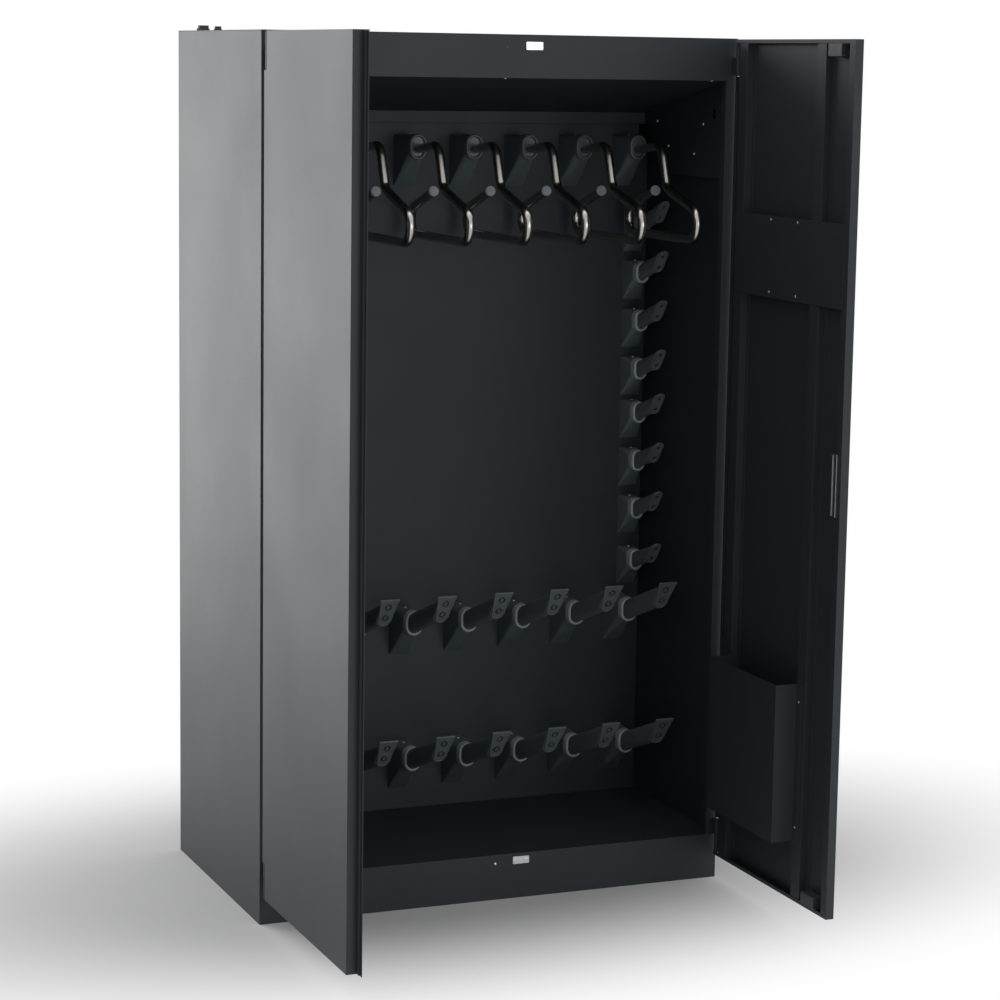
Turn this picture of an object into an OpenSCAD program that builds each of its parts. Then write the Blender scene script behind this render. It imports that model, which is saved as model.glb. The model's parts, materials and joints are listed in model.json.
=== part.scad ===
// Drying cabinet for clothes, boots and gloves: a sheet-steel body with two
// hinged doors, a warm-air chamber across the back and rows of air nozzles.
// Millimetres. X runs to the right, Y to the back and Z up. The origin is on
// the floor at the centre of the body's footprint, and both doors stand open
// at a right angle.

/* [Body] */
// Width of the body
body_w = 1150; // [950:10:1400]
// Depth of the body
body_d = 650; // [540:10:800]
// Height of the body
body_h = 2000; // [1660:10:2400]
// Thickness of the body sheet
sheet = 1.5; // [1:0.1:2]
// Height of the bottom rail
rail_h = 108; // [80:1:140]
// Height of the header
header_h = 97; // [85:1:130]
// Depth of the folds behind the rail and the header
fold_d = 25; // [20:1:35]
// Width of the front flange of a side
jamb_w = 27; // [24:1:40]
// Depth of the return behind that flange
jamb_return = 24; // [15:1:28]
// Width of the rear and foot flanges of a side
side_flange = 20; // [12:1:30]
// Width of the channel that stiffens the floor
support_w = 80; // [50:5:120]

/* [Air chamber] */
// Depth of the chamber, from the back of the body
chamber_d = 180; // [150:5:200]
// Drop from the top of the body to the top of the chamber
chamber_drop = 179; // [170:1:220]
// Height of the lip above the nozzle panel
lip_h = 28; // [20:1:40]
// Distance that the lip stands in front of the panel
lip_d = 18; // [12:1:25]
// Depth of the duct cover on a side wall
duct_d = 18; // [12:1:25]
// Drop from the top of the body to the lower edge of a duct cover
duct_drop = 323; // [300:1:360]
// Gap between a duct cover and the nozzle panel
duct_gap = 77; // [60:1:100]
// Distance from the front of the body to a duct cover
duct_front = 30; // [30:1:50]

/* [Nozzle rows] */
// Number of nozzle columns
columns = 8; // [4:1:10]
// Distance from a side of the body to the first column
column_edge = 74.5; // [60:0.5:110]
// Drop from the top of the body to the hanger nozzles
hanger_drop = 262; // [255:1:280]
// Height of the lower row of boot nozzles
boot_low = 257; // [250:1:320]
// Distance between the two rows of boot nozzles
boot_rise = 337; // [300:1:380]
// Distance from a side of the body to the glove nozzles
glove_edge = 37.5; // [36:0.5:60]
// Drop from the top of the body to the highest glove nozzle
glove_drop = 449; // [445:1:480]
// Pitch of the glove nozzles in the upper group
glove_pitch = 120; // [115:0.5:130]
// Pitch of the glove nozzles in the middle group
glove_mid_pitch = 121; // [115:0.5:130]

/* [Nozzle parts] */
// Width of a hood's base
hood_w = 50; // [44:1:56]
// Height of a hood's base
hood_h = 98; // [90:1:110]
// Wall of a moulded hood
hood_wall = 2.5; // [1.5:0.5:3]
// Width of the rim of a hanger or boot hood
rim_w = 44; // [40:1:50]
// Height of that rim
rim_h = 61; // [56:1:70]
// Distance from the nozzle panel to that rim
rim_d = 103; // [90:1:120]
// Width of the rim of a glove hood
glove_rim_w = 36; // [32:1:44]
// Height of that rim
glove_rim_h = 54; // [48:1:60]
// Distance from the nozzle panel to that rim
glove_rim_d = 58; // [50:1:80]
// Width of a boot tube
boot_tube_w = 33; // [26:1:36]
// Height of a boot tube, square to its axis
boot_tube_h = 47; // [40:1:50]
// Reach of a boot tube in front of its rim
boot_reach = 197; // [150:1:220]
// Rise of a boot tube, in degrees
boot_tilt = 20; // [10:1:25]
// Forward lean of a boot tube's end face, in degrees
boot_lean = 35; // [20:1:40]
// Width of a boot cap's flat top
boot_cap_w = 50; // [40:1:56]
// Width of a glove tube
glove_tube_w = 26; // [20:1:28]
// Height of a glove tube, square to its axis
glove_tube_h = 37; // [30:1:42]
// Reach of a glove tube in front of its rim
glove_reach = 105; // [80:1:130]
// Rise of a glove tube, in degrees
glove_tilt = 18; // [10:1:25]
// Forward lean of a glove tube's end face, in degrees
glove_lean = 38; // [20:1:42]
// Wall of a nozzle tube
tube_wall = 2; // [1.5:0.1:2.5]
// Thickness of a tube's end cap
cap_t = 4; // [3:0.5:5]
// Length of a cap's skirt round the tube
skirt_l = 11; // [6:0.5:14]
// Wall of that skirt
skirt_wall = 1; // [0.8:0.1:1.5]
// Size of a boot cap's six-sided vent, from middle to corner
vent_r = 7.5; // [5.5:0.1:8]
// Length of a tube inside its hood
tube_insert = 14; // [10:1:20]
// Clearance of a tube in its hood
tube_gap = 0.2; // [0.1:0.05:0.4]

/* [Hangers] */
// Diameter of the bent hanger tube
hanger_dia = 16; // [12:0.5:20]
// Wall of the hanger tube
hanger_wall = 1.5; // [1:0.1:2]
// Gap between the hanger and the front of the body
hanger_front = 24; // [20:1:60]
// Gap between the hanger and the nozzle panel
hanger_back = 34; // [25:1:60]
// Drop from the hanger's neck to its lower bar
hanger_h = 214; // [200:1:240]
// Diameter of the round knob on the hanger's free end
knob_dia = 26; // [22:0.5:30]

/* [Doors] */
// Gap between the doors and the body when they are closed
door_gap = 9; // [8:0.5:12]
// Thickness of a door
door_t = 20; // [18:0.5:24]
// Gap from a closed door's edge to the middle of the body
door_mid = 2; // [1:0.5:4]
// Gap from the floor to the doors
door_foot = 67; // [55:1:75]
// Gap from the top of the doors to the top of the body
door_head = 2; // [1:0.5:4]
// Width of the inward lip on a door's free edge
door_lip = 25; // [18:1:30]
// Width of the inward lips at a door's top and foot
door_fold = 9; // [6:1:14]
// Width of a door stiffener
stiff_w = 40; // [30:1:45]
// Distance from a door's hinge edge to its first stiffener
stiff_near = 39; // [39:1:50]
// Distance from a door's free edge to its second stiffener
stiff_far = 126; // [115:1:140]
// Depth of the meeting strip behind the left door
strip_d = 6.5; // [5:0.5:7]
// Reach of the meeting strip past the left door's edge
strip_reach = 25; // [15:1:30]

/* [Hinges] */
// Distance from a door's hinge edge to the hinge axis
axis_in = 8.5; // [8:0.5:10]
// Distance from a door's outer face to the hinge axis
axis_t = 6.5; // [6.5:0.5:8]
// Diameter of a hinge knuckle
knuckle_dia = 12.6; // [11:0.2:12.6]
// Length of a hinge knuckle
knuckle_h = 39; // [30:1:42]
// Diameter of a hinge pin
pin_dia = 6; // [5:0.5:7]
// Radial clearance of the pin in its knuckles
pin_gap = 0.05; // [0.02:0.01:0.1]

/* [Door fittings] */
// Distance from the right door's hinge edge to its cover plate
plate_near = 62; // [45:1:75]
// Distance from that plate to the door's free edge
plate_far = 17; // [12:1:24]
// Height of that plate
plate_h = 184; // [150:1:220]
// Height of the plate's lower edge
plate_z = 1422; // [1000:1:1500]
// Depth of the pocket in front of the door
pocket_d = 53; // [30:1:60]
// Height of the pocket
pocket_h = 364; // [250:1:400]
// Height of the pocket's foot
pocket_z = 204; // [180:1:260]
// Width of a catch housing
catch_w = 58; // [50:1:64]
// Height of a catch housing
catch_h = 27; // [22:1:30]
// Distance from the middle of the body to the catches
catch_x = 78; // [70:1:80]
// Distance from the middle of the body to their strike plates
strike_x = 65; // [60:1:72]
// Length of the pull strip on the right door
pull_h = 137; // [100:1:180]
// Height of the pull strip's middle
pull_z = 1039; // [900:1:1150]

/* [Blower and heater] */
// Diameter of the blower wheel
wheel_dia = 108; // [90:1:112]
// Width of the blower wheel
wheel_w = 100; // [80:1:120]
// Number of blades on the wheel
blades = 24; // [16:1:30]
// Running gap round the wheel in its housing
wheel_gap = 8; // [6:1:9]
// Diameter of the motor shaft
shaft_dia = 8; // [6:1:10]
// Diameter of the motor
motor_dia = 84; // [70:1:90]
// Length of the motor
motor_l = 90; // [70:1:120]
// Length of the heater
heater_l = 300; // [240:5:400]
// Height of the heater frame
heater_h = 90; // [70:1:110]

/* [Hidden] */
$fn = 48;
eps = 0.01;

// paint and material colours
paint = [0.19, 0.21, 0.23];
moulded = [0.24, 0.25, 0.27];
cap_grey = [0.33, 0.35, 0.37];
zinc = [0.75, 0.76, 0.78];
dark_chrome = [0.30, 0.29, 0.29];
knob_grey = [0.55, 0.58, 0.60];
black = [0.04, 0.04, 0.04];
copper = [0.55, 0.33, 0.20];

// planes of the body
half_w = body_w / 2;
front = -body_d / 2;
back = body_d / 2;
wall_x = half_w - sheet;
head_z = body_h - header_h;
floor_top = rail_h - sheet;
roof_under = body_h - sheet;
panel_y = back - chamber_d;
lip_y = panel_y - lip_d;
lip_top = body_h - chamber_drop;
lip_foot = lip_top - lip_h;
duct_x = wall_x - duct_d;
duct_foot = body_h - duct_drop;
shelf_top = lip_top - sheet;
lip_depth = lip_y - front;

// rows and columns of the nozzles
column_pitch = (body_w - 2 * column_edge) / (columns - 1);
column_x = [for (i = [0 : columns - 1]) (i - (columns - 1) / 2) * column_pitch];
hanger_z = body_h - hanger_drop;
boot_rows = [boot_low, boot_low + boot_rise];
glove_x = half_w - glove_edge;
glove_top = body_h - glove_drop;
glove_mid = glove_top - 3 * glove_pitch - 108;
glove_last = glove_mid - 2 * glove_mid_pitch - 130;
glove_clear = boot_low + boot_rise + 90;
glove_all = [
    for (i = [0 : 3]) glove_top - i * glove_pitch,
    for (i = [0 : 2]) glove_mid - i * glove_mid_pitch,
    glove_last
];
glove_rows = [for (z = glove_all) if (z > glove_clear) z];

// a hood's base hangs below the rim that it carries
hood_rise = 29;
rim_lip = 6;
screw_dia = 7;
screw_h = 2.2;
opening_inset = 6;

// places on a door: s from the hinge edge, t inwards from the outer face
door_w = half_w - door_mid;
door_top = body_h - door_head;
door_h = door_top - door_foot;
axis_x = half_w - axis_in;
axis_y = front - door_gap - door_t + axis_t;
open_x = axis_x + axis_t;
open_y = axis_y + axis_in;
cut_s = axis_in + knuckle_dia / 2 + 1.5;
knuckle_step = 1;
corner_cut = 2 * knuckle_h + knuckle_step + 5;
hinge_flange_t = 9;
hinge_lip = 13;
stiff_s = [stiff_near, door_w - stiff_far - stiff_w];
plate_t = 1.2;
pocket_t = 1.2;
strike_t = 1;
catch_gap = 0.3;
catch_t = door_t + door_gap - strike_t - catch_gap;
catch_z = [door_foot + 24, door_top - 23];
strike_h = 18;
strike_w = 41;
seal_d = 4;

// blower, on the shelf over the middle of the chamber
housing_wall = 1.5;
wheel_y = panel_y + chamber_d / 2 - 1;
housing_r = wheel_dia / 2 + wheel_gap + housing_wall;
wheel_z = shelf_top + housing_r + 6;
housing_w = wheel_w + 2 * wheel_gap + 2 * housing_wall;
inlet_dia = wheel_dia - 24;
outlet_w = wheel_dia * 0.62;
blade_t = 1.2;
blade_l = 10;
heater_d = 110;
heater_top = shelf_top - sheet;

// ---- shapes used by several pieces ----

// upright slot outline, w wide and h high, with round ends
module slot_outline(w, h) {
    square([w, h - w], center = true);
    for (s = [-1, 1])
        translate([0, s * (h - w) / 2])
            circle(d = w);
}

// a box between two corners
module block(low, high) {
    translate(low)
        cube(high - low);
}

// sheet bent along a chain of points in the Y-Z plane, t thick upwards
module bent_sheet(chain, x0, x1, t) {
    upper = [for (i = [len(chain) - 1 : -1 : 0]) chain[i] + [0, t]];
    translate([x0, 0, 0])
        rotate([90, 0, 90])
            linear_extrude(x1 - x0)
                polygon(concat(chain, upper));
}

// button head standing out along +Z from the plane it sits on
module button_head(dia, h) {
    cylinder(d = dia, h = h * 0.5);
    translate([0, 0, h * 0.5 - eps])
        cylinder(d1 = dia, d2 = dia * 0.6, h = h * 0.5);
}

// turns +Z to the front
module facing_front() {
    rotate([90, 0, 0])
        children();
}

// the door's own axes: s along the leaf, t inwards, for the left door
module on_left_door() {
    translate([-open_x, open_y, 0])
        rotate([0, 0, -90])
            children();
}

module on_right_door() {
    mirror([1, 0, 0])
        on_left_door()
            children();
}

// ---- body ----

module side_panel() {
    color(paint) union() {
        block([-half_w, front + sheet, 0], [-wall_x, back - sheet, roof_under]);
        // front flange between the rail and the header, with its return
        block([-half_w, front, rail_h], [-half_w + jamb_w, front + sheet, head_z]);
        block([-half_w + jamb_w - sheet, front, rail_h],
              [-half_w + jamb_w, front + jamb_return, head_z]);
        // rear flange behind the back panel and foot flange on the floor
        block([-half_w, back - 2 * sheet, 0],
              [-half_w + side_flange, back - sheet, roof_under]);
        block([-half_w, front + sheet, 0],
              [-half_w + side_flange, back - sheet, sheet]);
    }
}

module side_panel_left() side_panel();
module side_panel_right() mirror([1, 0, 0]) side_panel();

module back_panel() {
    color(paint)
        block([-half_w, back - sheet, 0], [half_w, back, roof_under]);
}

gland_at = [[-half_w + 52, back - 30], [-half_w + 88, back - 30]];
gland_r = [8, 5];

module roof_panel() {
    inner_x = wall_x - sheet;
    flange_z = roof_under - side_flange;
    flange_y0 = front + fold_d + 5;
    flange_y1 = back - 2 * sheet;
    color(paint) difference() {
        union() {
            block([-half_w, front, roof_under], [half_w, back, body_h]);
            for (x = [-wall_x, inner_x])
                block([x, flange_y0, flange_z], [x + sheet, flange_y1, body_h]);
            block([-inner_x, flange_y1 - sheet, flange_z], [inner_x, flange_y1, body_h]);
        }
        for (i = [0, 1])
            translate([gland_at[i].x, gland_at[i].y, roof_under - 1])
                cylinder(r = gland_r[i] + 2, h = sheet + 2);
    }
}

module floor_panel() {
    y1 = back - 2 * sheet;
    z0 = floor_top - sheet;
    color(paint) union() {
        block([-wall_x, front + sheet, z0], [wall_x, y1, floor_top]);
        for (x = [-wall_x, wall_x - sheet])
            block([x, front + sheet, z0 - side_flange], [x + sheet, y1, z0]);
        block([-wall_x, y1 - sheet, z0 - side_flange], [wall_x, y1, z0]);
    }
}

// channel under the floor that stands on the ground along the middle
module floor_support() {
    y0 = front + fold_d + 5;
    y1 = back - side_flange;
    top = floor_top - sheet;
    w = support_w / 2;
    color(paint) union() {
        block([-w, y0, 0], [w, y1, sheet]);
        for (x = [-w, w - sheet])
            block([x, y0, 0], [x + sheet, y1, top]);
        for (x = [-w - side_flange, w])
            block([x, y0, top - sheet], [x + side_flange, y1, top]);
    }
}

module bottom_rail() {
    foot_x = wall_x - side_flange;
    color(paint) difference() {
        union() {
            block([-half_w, front, 0], [half_w, front + sheet, rail_h]);
            block([-wall_x, front, floor_top], [wall_x, front + fold_d, rail_h]);
            block([-foot_x, front, 0], [foot_x, front + fold_d, sheet]);
        }
        strike_holes(catch_z[0]);
    }
}

// small round window of the door sensor in the header
sensor_dia = 9;
sensor_z = body_h - 29;

module header_panel() {
    color(paint) difference() {
        union() {
            block([-half_w, front, head_z], [half_w, front + sheet, roof_under]);
            block([-wall_x, front, head_z], [wall_x, front + fold_d, head_z + sheet]);
            block([-wall_x, front, roof_under - sheet],
                  [wall_x, front + fold_d, roof_under]);
        }
        strike_holes(catch_z[1]);
        translate([0, front + sheet + 1, sensor_z])
            facing_front()
                cylinder(d = sensor_dia, h = sheet + 2);
        for (x = baffle_screw_x)
            translate([x, front + fold_d / 2, head_z - 1])
                cylinder(d = 3.4, h = sheet + 2);
    }
}

module ceiling_baffle() {
    z0 = head_z + sheet;
    chain = [[front + sheet, z0], [front + fold_d, z0], [lip_y, lip_top], [panel_y, lip_top]];
    color(paint) difference() {
        bent_sheet(chain, -wall_x, wall_x, sheet);
        for (x = baffle_screw_x)
            translate([x, front + fold_d / 2, z0 - 1])
                cylinder(d = 3.4, h = sheet + 2);
    }
}

// ---- air chamber ----

// air opening behind a hood whose rim is at the height z
module air_opening(x, z) {
    block([x - hood_w / 2 + opening_inset, panel_y - 1, z + hood_rise - hood_h + opening_inset],
          [x + hood_w / 2 - opening_inset, panel_y + sheet + 1, z + hood_rise - opening_inset]);
}

module nozzle_panel() {
    notch_w = duct_d + 7;
    color(paint) difference() {
        union() {
            block([-wall_x, panel_y, floor_top], [wall_x, panel_y + sheet, lip_foot]);
            for (x = [-wall_x, wall_x - sheet])
                block([x, panel_y, floor_top], [x + sheet, panel_y + side_flange, lip_foot - 50]);
        }
        for (x = column_x, z = concat(boot_rows, [hanger_z]))
            air_opening(x, z);
        for (s = [-1, 1], z = glove_rows)
            air_opening(s * glove_x, z);
        // corner notches that let the chamber breathe into the side ducts
        for (x = [-wall_x - 1, wall_x - notch_w])
            block([x, panel_y - 1, lip_foot - 48], [x + notch_w + 1, panel_y + sheet + 1, lip_foot + 1]);
    }
}

module chamber_lip() {
    color(paint) union() {
        block([-duct_x, lip_y, lip_foot], [duct_x, lip_y + sheet, lip_top]);
        block([-duct_x, lip_y, lip_foot], [duct_x, panel_y + sheet, lip_foot + sheet]);
        block([-duct_x, lip_y, lip_top - sheet], [duct_x, panel_y + side_flange, lip_top]);
    }
}

// height of the baffle's underside at the depth y
function baffle_z(y) =
    head_z + sheet + (lip_top - head_z - sheet) * (y - front - fold_d) / (lip_y - front - fold_d);

duct_y0 = front + duct_front;
duct_y1 = panel_y - duct_gap;
duct_screw_at = [
    [duct_y0 + 100, lip_top - 20], [duct_y1 - 13, lip_top - 19],
    [duct_y0 + 145, duct_foot + 53], [duct_y1 - 78, duct_foot + 67]
];

// cover of the duct on the left wall, with folds back to the wall
module duct_cover() {
    outer = [
        [duct_y0, duct_foot], [duct_y1, duct_foot], [duct_y1, lip_foot],
        [lip_y, lip_foot], [lip_y, lip_top], [duct_y0, baffle_z(duct_y0)]
    ];
    inner = [
        [duct_y0 + sheet, duct_foot + sheet], [duct_y1 - sheet, duct_foot + sheet],
        [duct_y1 - sheet, lip_foot + sheet], [lip_y - sheet, lip_foot + sheet],
        [lip_y - sheet, lip_top + 5], [duct_y0 + sheet, baffle_z(duct_y0) + 5]
    ];
    color(paint) difference() {
        translate([-wall_x, 0, 0])
            rotate([90, 0, 90])
                linear_extrude(duct_d)
                    polygon(outer);
        translate([-wall_x - 1, 0, 0])
            rotate([90, 0, 90])
                linear_extrude(duct_d - sheet + 1)
                    polygon(inner);
        // slot for the door contact
        block([-duct_x - sheet - 1, duct_y0 + 38, lip_top - 6],
              [-duct_x + 1, duct_y0 + 54, lip_top + 15]);
        for (at = duct_screw_at)
            translate([-duct_x - sheet - 1, at.x, at.y])
                rotate([0, 90, 0])
                    cylinder(d = 3.4, h = sheet + 2);
    }
}

module duct_cover_left() duct_cover();
module duct_cover_right() mirror([1, 0, 0]) duct_cover();

baffle_screw_x = [-half_w + 59, 0, half_w - 59];
back_screw_x = [-half_w + 11, half_w - 11];
back_screw_z = [for (i = [0 : 5]) 60 + i * (body_h - 120) / 5];

module panel_screws() {
    color(zinc) {
        // duct covers
        for (m = [0, 1])
            mirror([m, 0, 0])
                for (at = duct_screw_at)
                    translate([-duct_x, at.x, at.y])
                        rotate([0, 90, 0])
                            button_head(screw_dia, screw_h);
        // front edge of the ceiling baffle
        for (x = baffle_screw_x)
            translate([x, front + fold_d / 2, head_z])
                rotate([180, 0, 0])
                    button_head(screw_dia, screw_h);
        // edges of the back panel
        for (x = back_screw_x, z = back_screw_z)
            translate([x, back, z])
                rotate([-90, 0, 0])
                    button_head(screw_dia, screw_h);
        // single screw in the middle of the bottom rail
        translate([0, front, door_foot + 20])
            facing_front()
                button_head(screw_dia, screw_h);
    }
}

// ---- nozzles ----

// tapered hood from its base on the panel to a slot-shaped rim; the origin is
// on the panel behind the middle of the rim
module hood(w, h, depth) {
    wall = hood_wall;
    difference() {
        hull() {
            block([-hood_w / 2, -3, hood_rise - hood_h], [hood_w / 2, 0, hood_rise]);
            translate([0, -depth + rim_lip, 0])
                facing_front()
                    linear_extrude(rim_lip)
                        slot_outline(w, h, $fn = 16);
        }
        hull() {
            block([-hood_w / 2 + wall, -3, hood_rise - hood_h + wall],
                  [hood_w / 2 - wall, 1, hood_rise - wall]);
            translate([0, -depth + rim_lip + 3, 0])
                facing_front()
                    linear_extrude(3)
                        slot_outline(w - 2 * wall, h - 2 * wall, $fn = 16);
        }
        children();
    }
}

// length of a tube's oblique end, h high square to its axis
function end_length(h, tilt, lean) = h / sin(90 - lean - tilt);

// straight tube rising to the front; the origin is the middle of the rim
module tilted_bar(w, h, tilt, reach) {
    translate([0, -reach, reach * tan(tilt)])
        rotate([90 - tilt, 0, 0])
            translate([0, 0, -reach * 1.6])
                linear_extrude(reach * 2.2)
                    slot_outline(w, h);
}

module nozzle_tube(w, h, tilt, lean, reach) {
    big = 3 * reach;
    difference() {
        tilted_bar(w, h, tilt, reach);
        tilted_bar(w - 2 * tube_wall, h - 2 * tube_wall, tilt, reach);
        // oblique front end
        translate([0, -reach, reach * tan(tilt)])
            rotate([90 + lean, 0, 0])
                translate([-big / 2, -big / 2, 0])
                    cube(big);
        // upright rear end inside the hood
        translate([-big / 2, tube_insert, -big / 2])
            cube(big);
    }
}

module at_tube_end(tilt, lean, reach) {
    translate([0, -reach, reach * tan(tilt)])
        rotate([90 + lean, 0, 0])
            children();
}

// skirt of a cap, round the tube behind it, let a little way into the cap
module cap_skirt(w, h, tilt, lean, reach) {
    inner = 2 * tube_gap;
    outer = inner + 2 * skirt_wall;
    big = 3 * reach;
    difference() {
        tilted_bar(w + outer, h + outer, tilt, reach);
        tilted_bar(w + inner, h + inner, tilt, reach);
        for (z = [skirt_in, -skirt_l - big])
            at_tube_end(tilt, lean, reach)
                translate([-big / 2, -big / 2, z])
                    cube(big);
    }
}

skirt_in = 1.5;

// six-sided ring vent whose middle is held by a bridge
module vent_ring() {
    h = cap_t + 2;
    difference() {
        cylinder(r = vent_r, h = h, $fn = 6);
        translate([0, 0, -1])
            cylinder(r = vent_r - 3, h = h + 2, $fn = 6);
        translate([-vent_r, -0.8, -1])
            cube([2 * vent_r, 1.6, h + 2]);
    }
}

// cap with a wide flat top and two six-sided vents
module boot_cap() {
    l = end_length(boot_tube_h, boot_tilt, boot_lean) + 2;
    r = boot_tube_w / 2 + 0.5;
    union() {
        at_tube_end(boot_tilt, boot_lean, boot_reach)
            difference() {
                linear_extrude(cap_t)
                    union() {
                        translate([0, r - l / 2])
                            circle(r = r);
                        polygon([[-r, r - l / 2], [r, r - l / 2],
                                 [boot_cap_w / 2, l / 2], [-boot_cap_w / 2, l / 2]]);
                    }
                for (y = [0.2 * l, -0.17 * l])
                    translate([0, y, -1])
                        vent_ring();
            }
        cap_skirt(boot_tube_w, boot_tube_h, boot_tilt, boot_lean, boot_reach);
    }
}

// slim cap with two small round vents
module glove_cap() {
    l = end_length(glove_tube_h, glove_tilt, glove_lean) + 2;
    union() {
        at_tube_end(glove_tilt, glove_lean, glove_reach)
            difference() {
                linear_extrude(cap_t)
                    slot_outline(glove_tube_w + 1, l);
                for (y = [0.25 * l, -0.25 * l])
                    translate([0, y, -1])
                        cylinder(d = 6, h = cap_t + 2);
            }
        cap_skirt(glove_tube_w, glove_tube_h, glove_tilt, glove_lean, glove_reach);
    }
}

module each_hanger() {
    for (x = column_x)
        translate([x, panel_y, hanger_z])
            children();
}

module each_boot() {
    for (x = column_x, z = boot_rows)
        translate([x, panel_y, z])
            children();
}

module each_glove() {
    for (s = [-1, 1], z = glove_rows)
        translate([s * glove_x, panel_y, z])
            children();
}

module hanger_hoods() {
    color(moulded)
        each_hanger()
            hood(rim_w, rim_h, rim_d)
                translate([0, -rim_d - 1, neck_z])
                    rotate([-90, 0, 0])
                        cylinder(r = hanger_dia / 2 + bend_ease + tube_gap, h = rim_lip + 6, $fn = 24);
}

module boot_hoods() {
    color(moulded)
        each_boot()
            hood(rim_w, rim_h, rim_d)
                translate([0, -rim_d, 0])
                    tilted_bar(boot_tube_w + 2 * tube_gap, boot_tube_h + 2 * tube_gap,
                               boot_tilt, 40, $fn = 24);
}

module glove_hoods() {
    color(moulded)
        each_glove()
            hood(glove_rim_w, glove_rim_h, glove_rim_d)
                translate([0, -glove_rim_d, 0])
                    tilted_bar(glove_tube_w + 2 * tube_gap, glove_tube_h + 2 * tube_gap,
                               glove_tilt, 30, $fn = 24);
}

module boot_tubes() {
    color(moulded)
        each_boot()
            translate([0, -rim_d, 0])
                nozzle_tube(boot_tube_w, boot_tube_h, boot_tilt, boot_lean, boot_reach);
}

module glove_tubes() {
    color(moulded)
        each_glove()
            translate([0, -glove_rim_d, 0])
                nozzle_tube(glove_tube_w, glove_tube_h, glove_tilt, glove_lean, glove_reach);
}

module boot_caps() {
    color(cap_grey)
        each_boot()
            translate([0, -rim_d, 0])
                boot_cap();
}

module glove_caps() {
    color(cap_grey)
        each_glove()
            translate([0, -glove_rim_d, 0])
                glove_cap();
}

// one screw holds each hood, above its base
module hood_screws() {
    color(zinc) {
        each_hanger() hood_screw();
        each_boot() hood_screw();
        each_glove() hood_screw();
    }
}

module hood_screw() {
    translate([0, 0, hood_rise + screw_dia / 2 + 0.6])
        facing_front()
            button_head(screw_dia, screw_h);
}

// ---- hangers ----

// unit vector along v
function unit(v) = v / norm(v);

// distance from a corner to the ends of its bend
function bend_cut(p, q, n, r) =
    let (angle = acos(unit(p - q) * unit(n - q)))
    r / tan(angle / 2);

// one bend between the straight runs p-q and q-n, in the X-Y plane
module bend(p, q, n, r, tube_r) {
    to_p = unit(p - q);
    to_n = unit(n - q);
    angle = acos(to_p * to_n);
    centre = q + unit(to_p + to_n) * r / sin(angle / 2);
    start = q + to_p * r / tan(angle / 2) - centre;
    turn = 180 - angle;
    side = cross(to_p, to_n) > 0 ? -1 : 1;
    from = atan2(start.y, start.x);
    translate([centre.x, centre.y, 0])
        rotate([0, 0, side > 0 ? from : from - turn])
            rotate_extrude(angle = turn)
                translate([r, 0])
                    circle(r = tube_r, $fn = 32);
}

bend_lap = 0.5;
bend_ease = 0.15;

// round bar along the corners path, with the bend radii, in the X-Y plane
module bent_bar(path, radii, tube_r) {
    last = len(path) - 1;
    cut = [for (i = [0 : last])
        i == 0 || i == last ? 0 : bend_cut(path[i - 1], path[i], path[i + 1], radii[i])];
    for (i = [0 : last - 1]) {
        run = path[i + 1] - path[i];
        dir = unit(run);
        // each straight run laps a little over the bends at its ends
        lap_0 = i == 0 ? 0 : bend_lap;
        lap_1 = i == last - 1 ? 0 : bend_lap;
        start = path[i] + dir * (cut[i] - lap_0);
        run_l = norm(run) - cut[i] - cut[i + 1] + lap_0 + lap_1;
        translate([start.x, start.y, 0])
            rotate([0, 0, atan2(dir.y, dir.x)])
                rotate([0, 90, 0])
                    cylinder(r = tube_r + bend_ease, h = run_l, $fn = 32);
    }
    for (i = [1 : last - 1])
        bend(path[i - 1], path[i], path[i + 1], radii[i], tube_r);
}

// corners of a hanger: [depth from the nozzle panel, height above its rim]
neck_z = 5;
bar_z = neck_z - hanger_h;
front_run = hanger_front + hanger_dia / 2 - chamber_depth();
back_run = -hanger_back - hanger_dia / 2;
function chamber_depth() = panel_y - front;
mid_run = (front_run + back_run) / 2;
neck_corner = mid_run - 6;
hanger_path = [
    [-rim_d + 12, neck_z],
    [neck_corner, neck_z],
    [neck_corner - 22, neck_z - 95],
    [front_run, neck_z - 154],
    [front_run, bar_z],
    [back_run, bar_z],
    [back_run, neck_z - 130],
    [mid_run + 27, neck_z - 105]
];
hanger_radii = [0, 24, 34, 27, 27, 27, 27, 0];

module hanger(i) {
    color(dark_chrome)
        translate([column_x[i], panel_y, hanger_z])
            rotate([90, 0, 90])
                difference() {
                    bent_bar(hanger_path, hanger_radii, hanger_dia / 2);
                    bent_bar(hanger_path, hanger_radii, hanger_dia / 2 - hanger_wall);
                }
}

module hanger_1() hanger(0);
module hanger_2() hanger(1);
module hanger_3() hanger(2);
module hanger_4() hanger(3);
module hanger_5() hanger(4);
module hanger_6() hanger(5);
module hanger_7() hanger(6);
module hanger_8() hanger(7);

// round knob on the free end of each hanger
module hanger_knobs() {
    last = len(hanger_path) - 1;
    tip = hanger_path[last];
    dir = unit(tip - hanger_path[last - 1]);
    knob_l = 12;
    color(knob_grey)
        for (x = column_x)
            translate([x, panel_y + tip.x, hanger_z + tip.y])
                rotate([90 - atan2(dir.y, -dir.x), 0, 0])
                    union() {
                        cylinder(d = knob_dia, h = knob_l - 3);
                        translate([0, 0, knob_l - 3])
                            cylinder(d1 = knob_dia, d2 = knob_dia - 5, h = 3);
                    }
}

// ---- door catches on the body ----

function strike_screw_x() = [strike_x - strike_w / 2 + 6, strike_x + strike_w / 2 - 6];

module strike_holes(z) {
    for (x = strike_screw_x())
        translate([x, front + sheet + 1, z])
            facing_front()
                cylinder(d = 3.4, h = sheet + 2);
}

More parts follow.
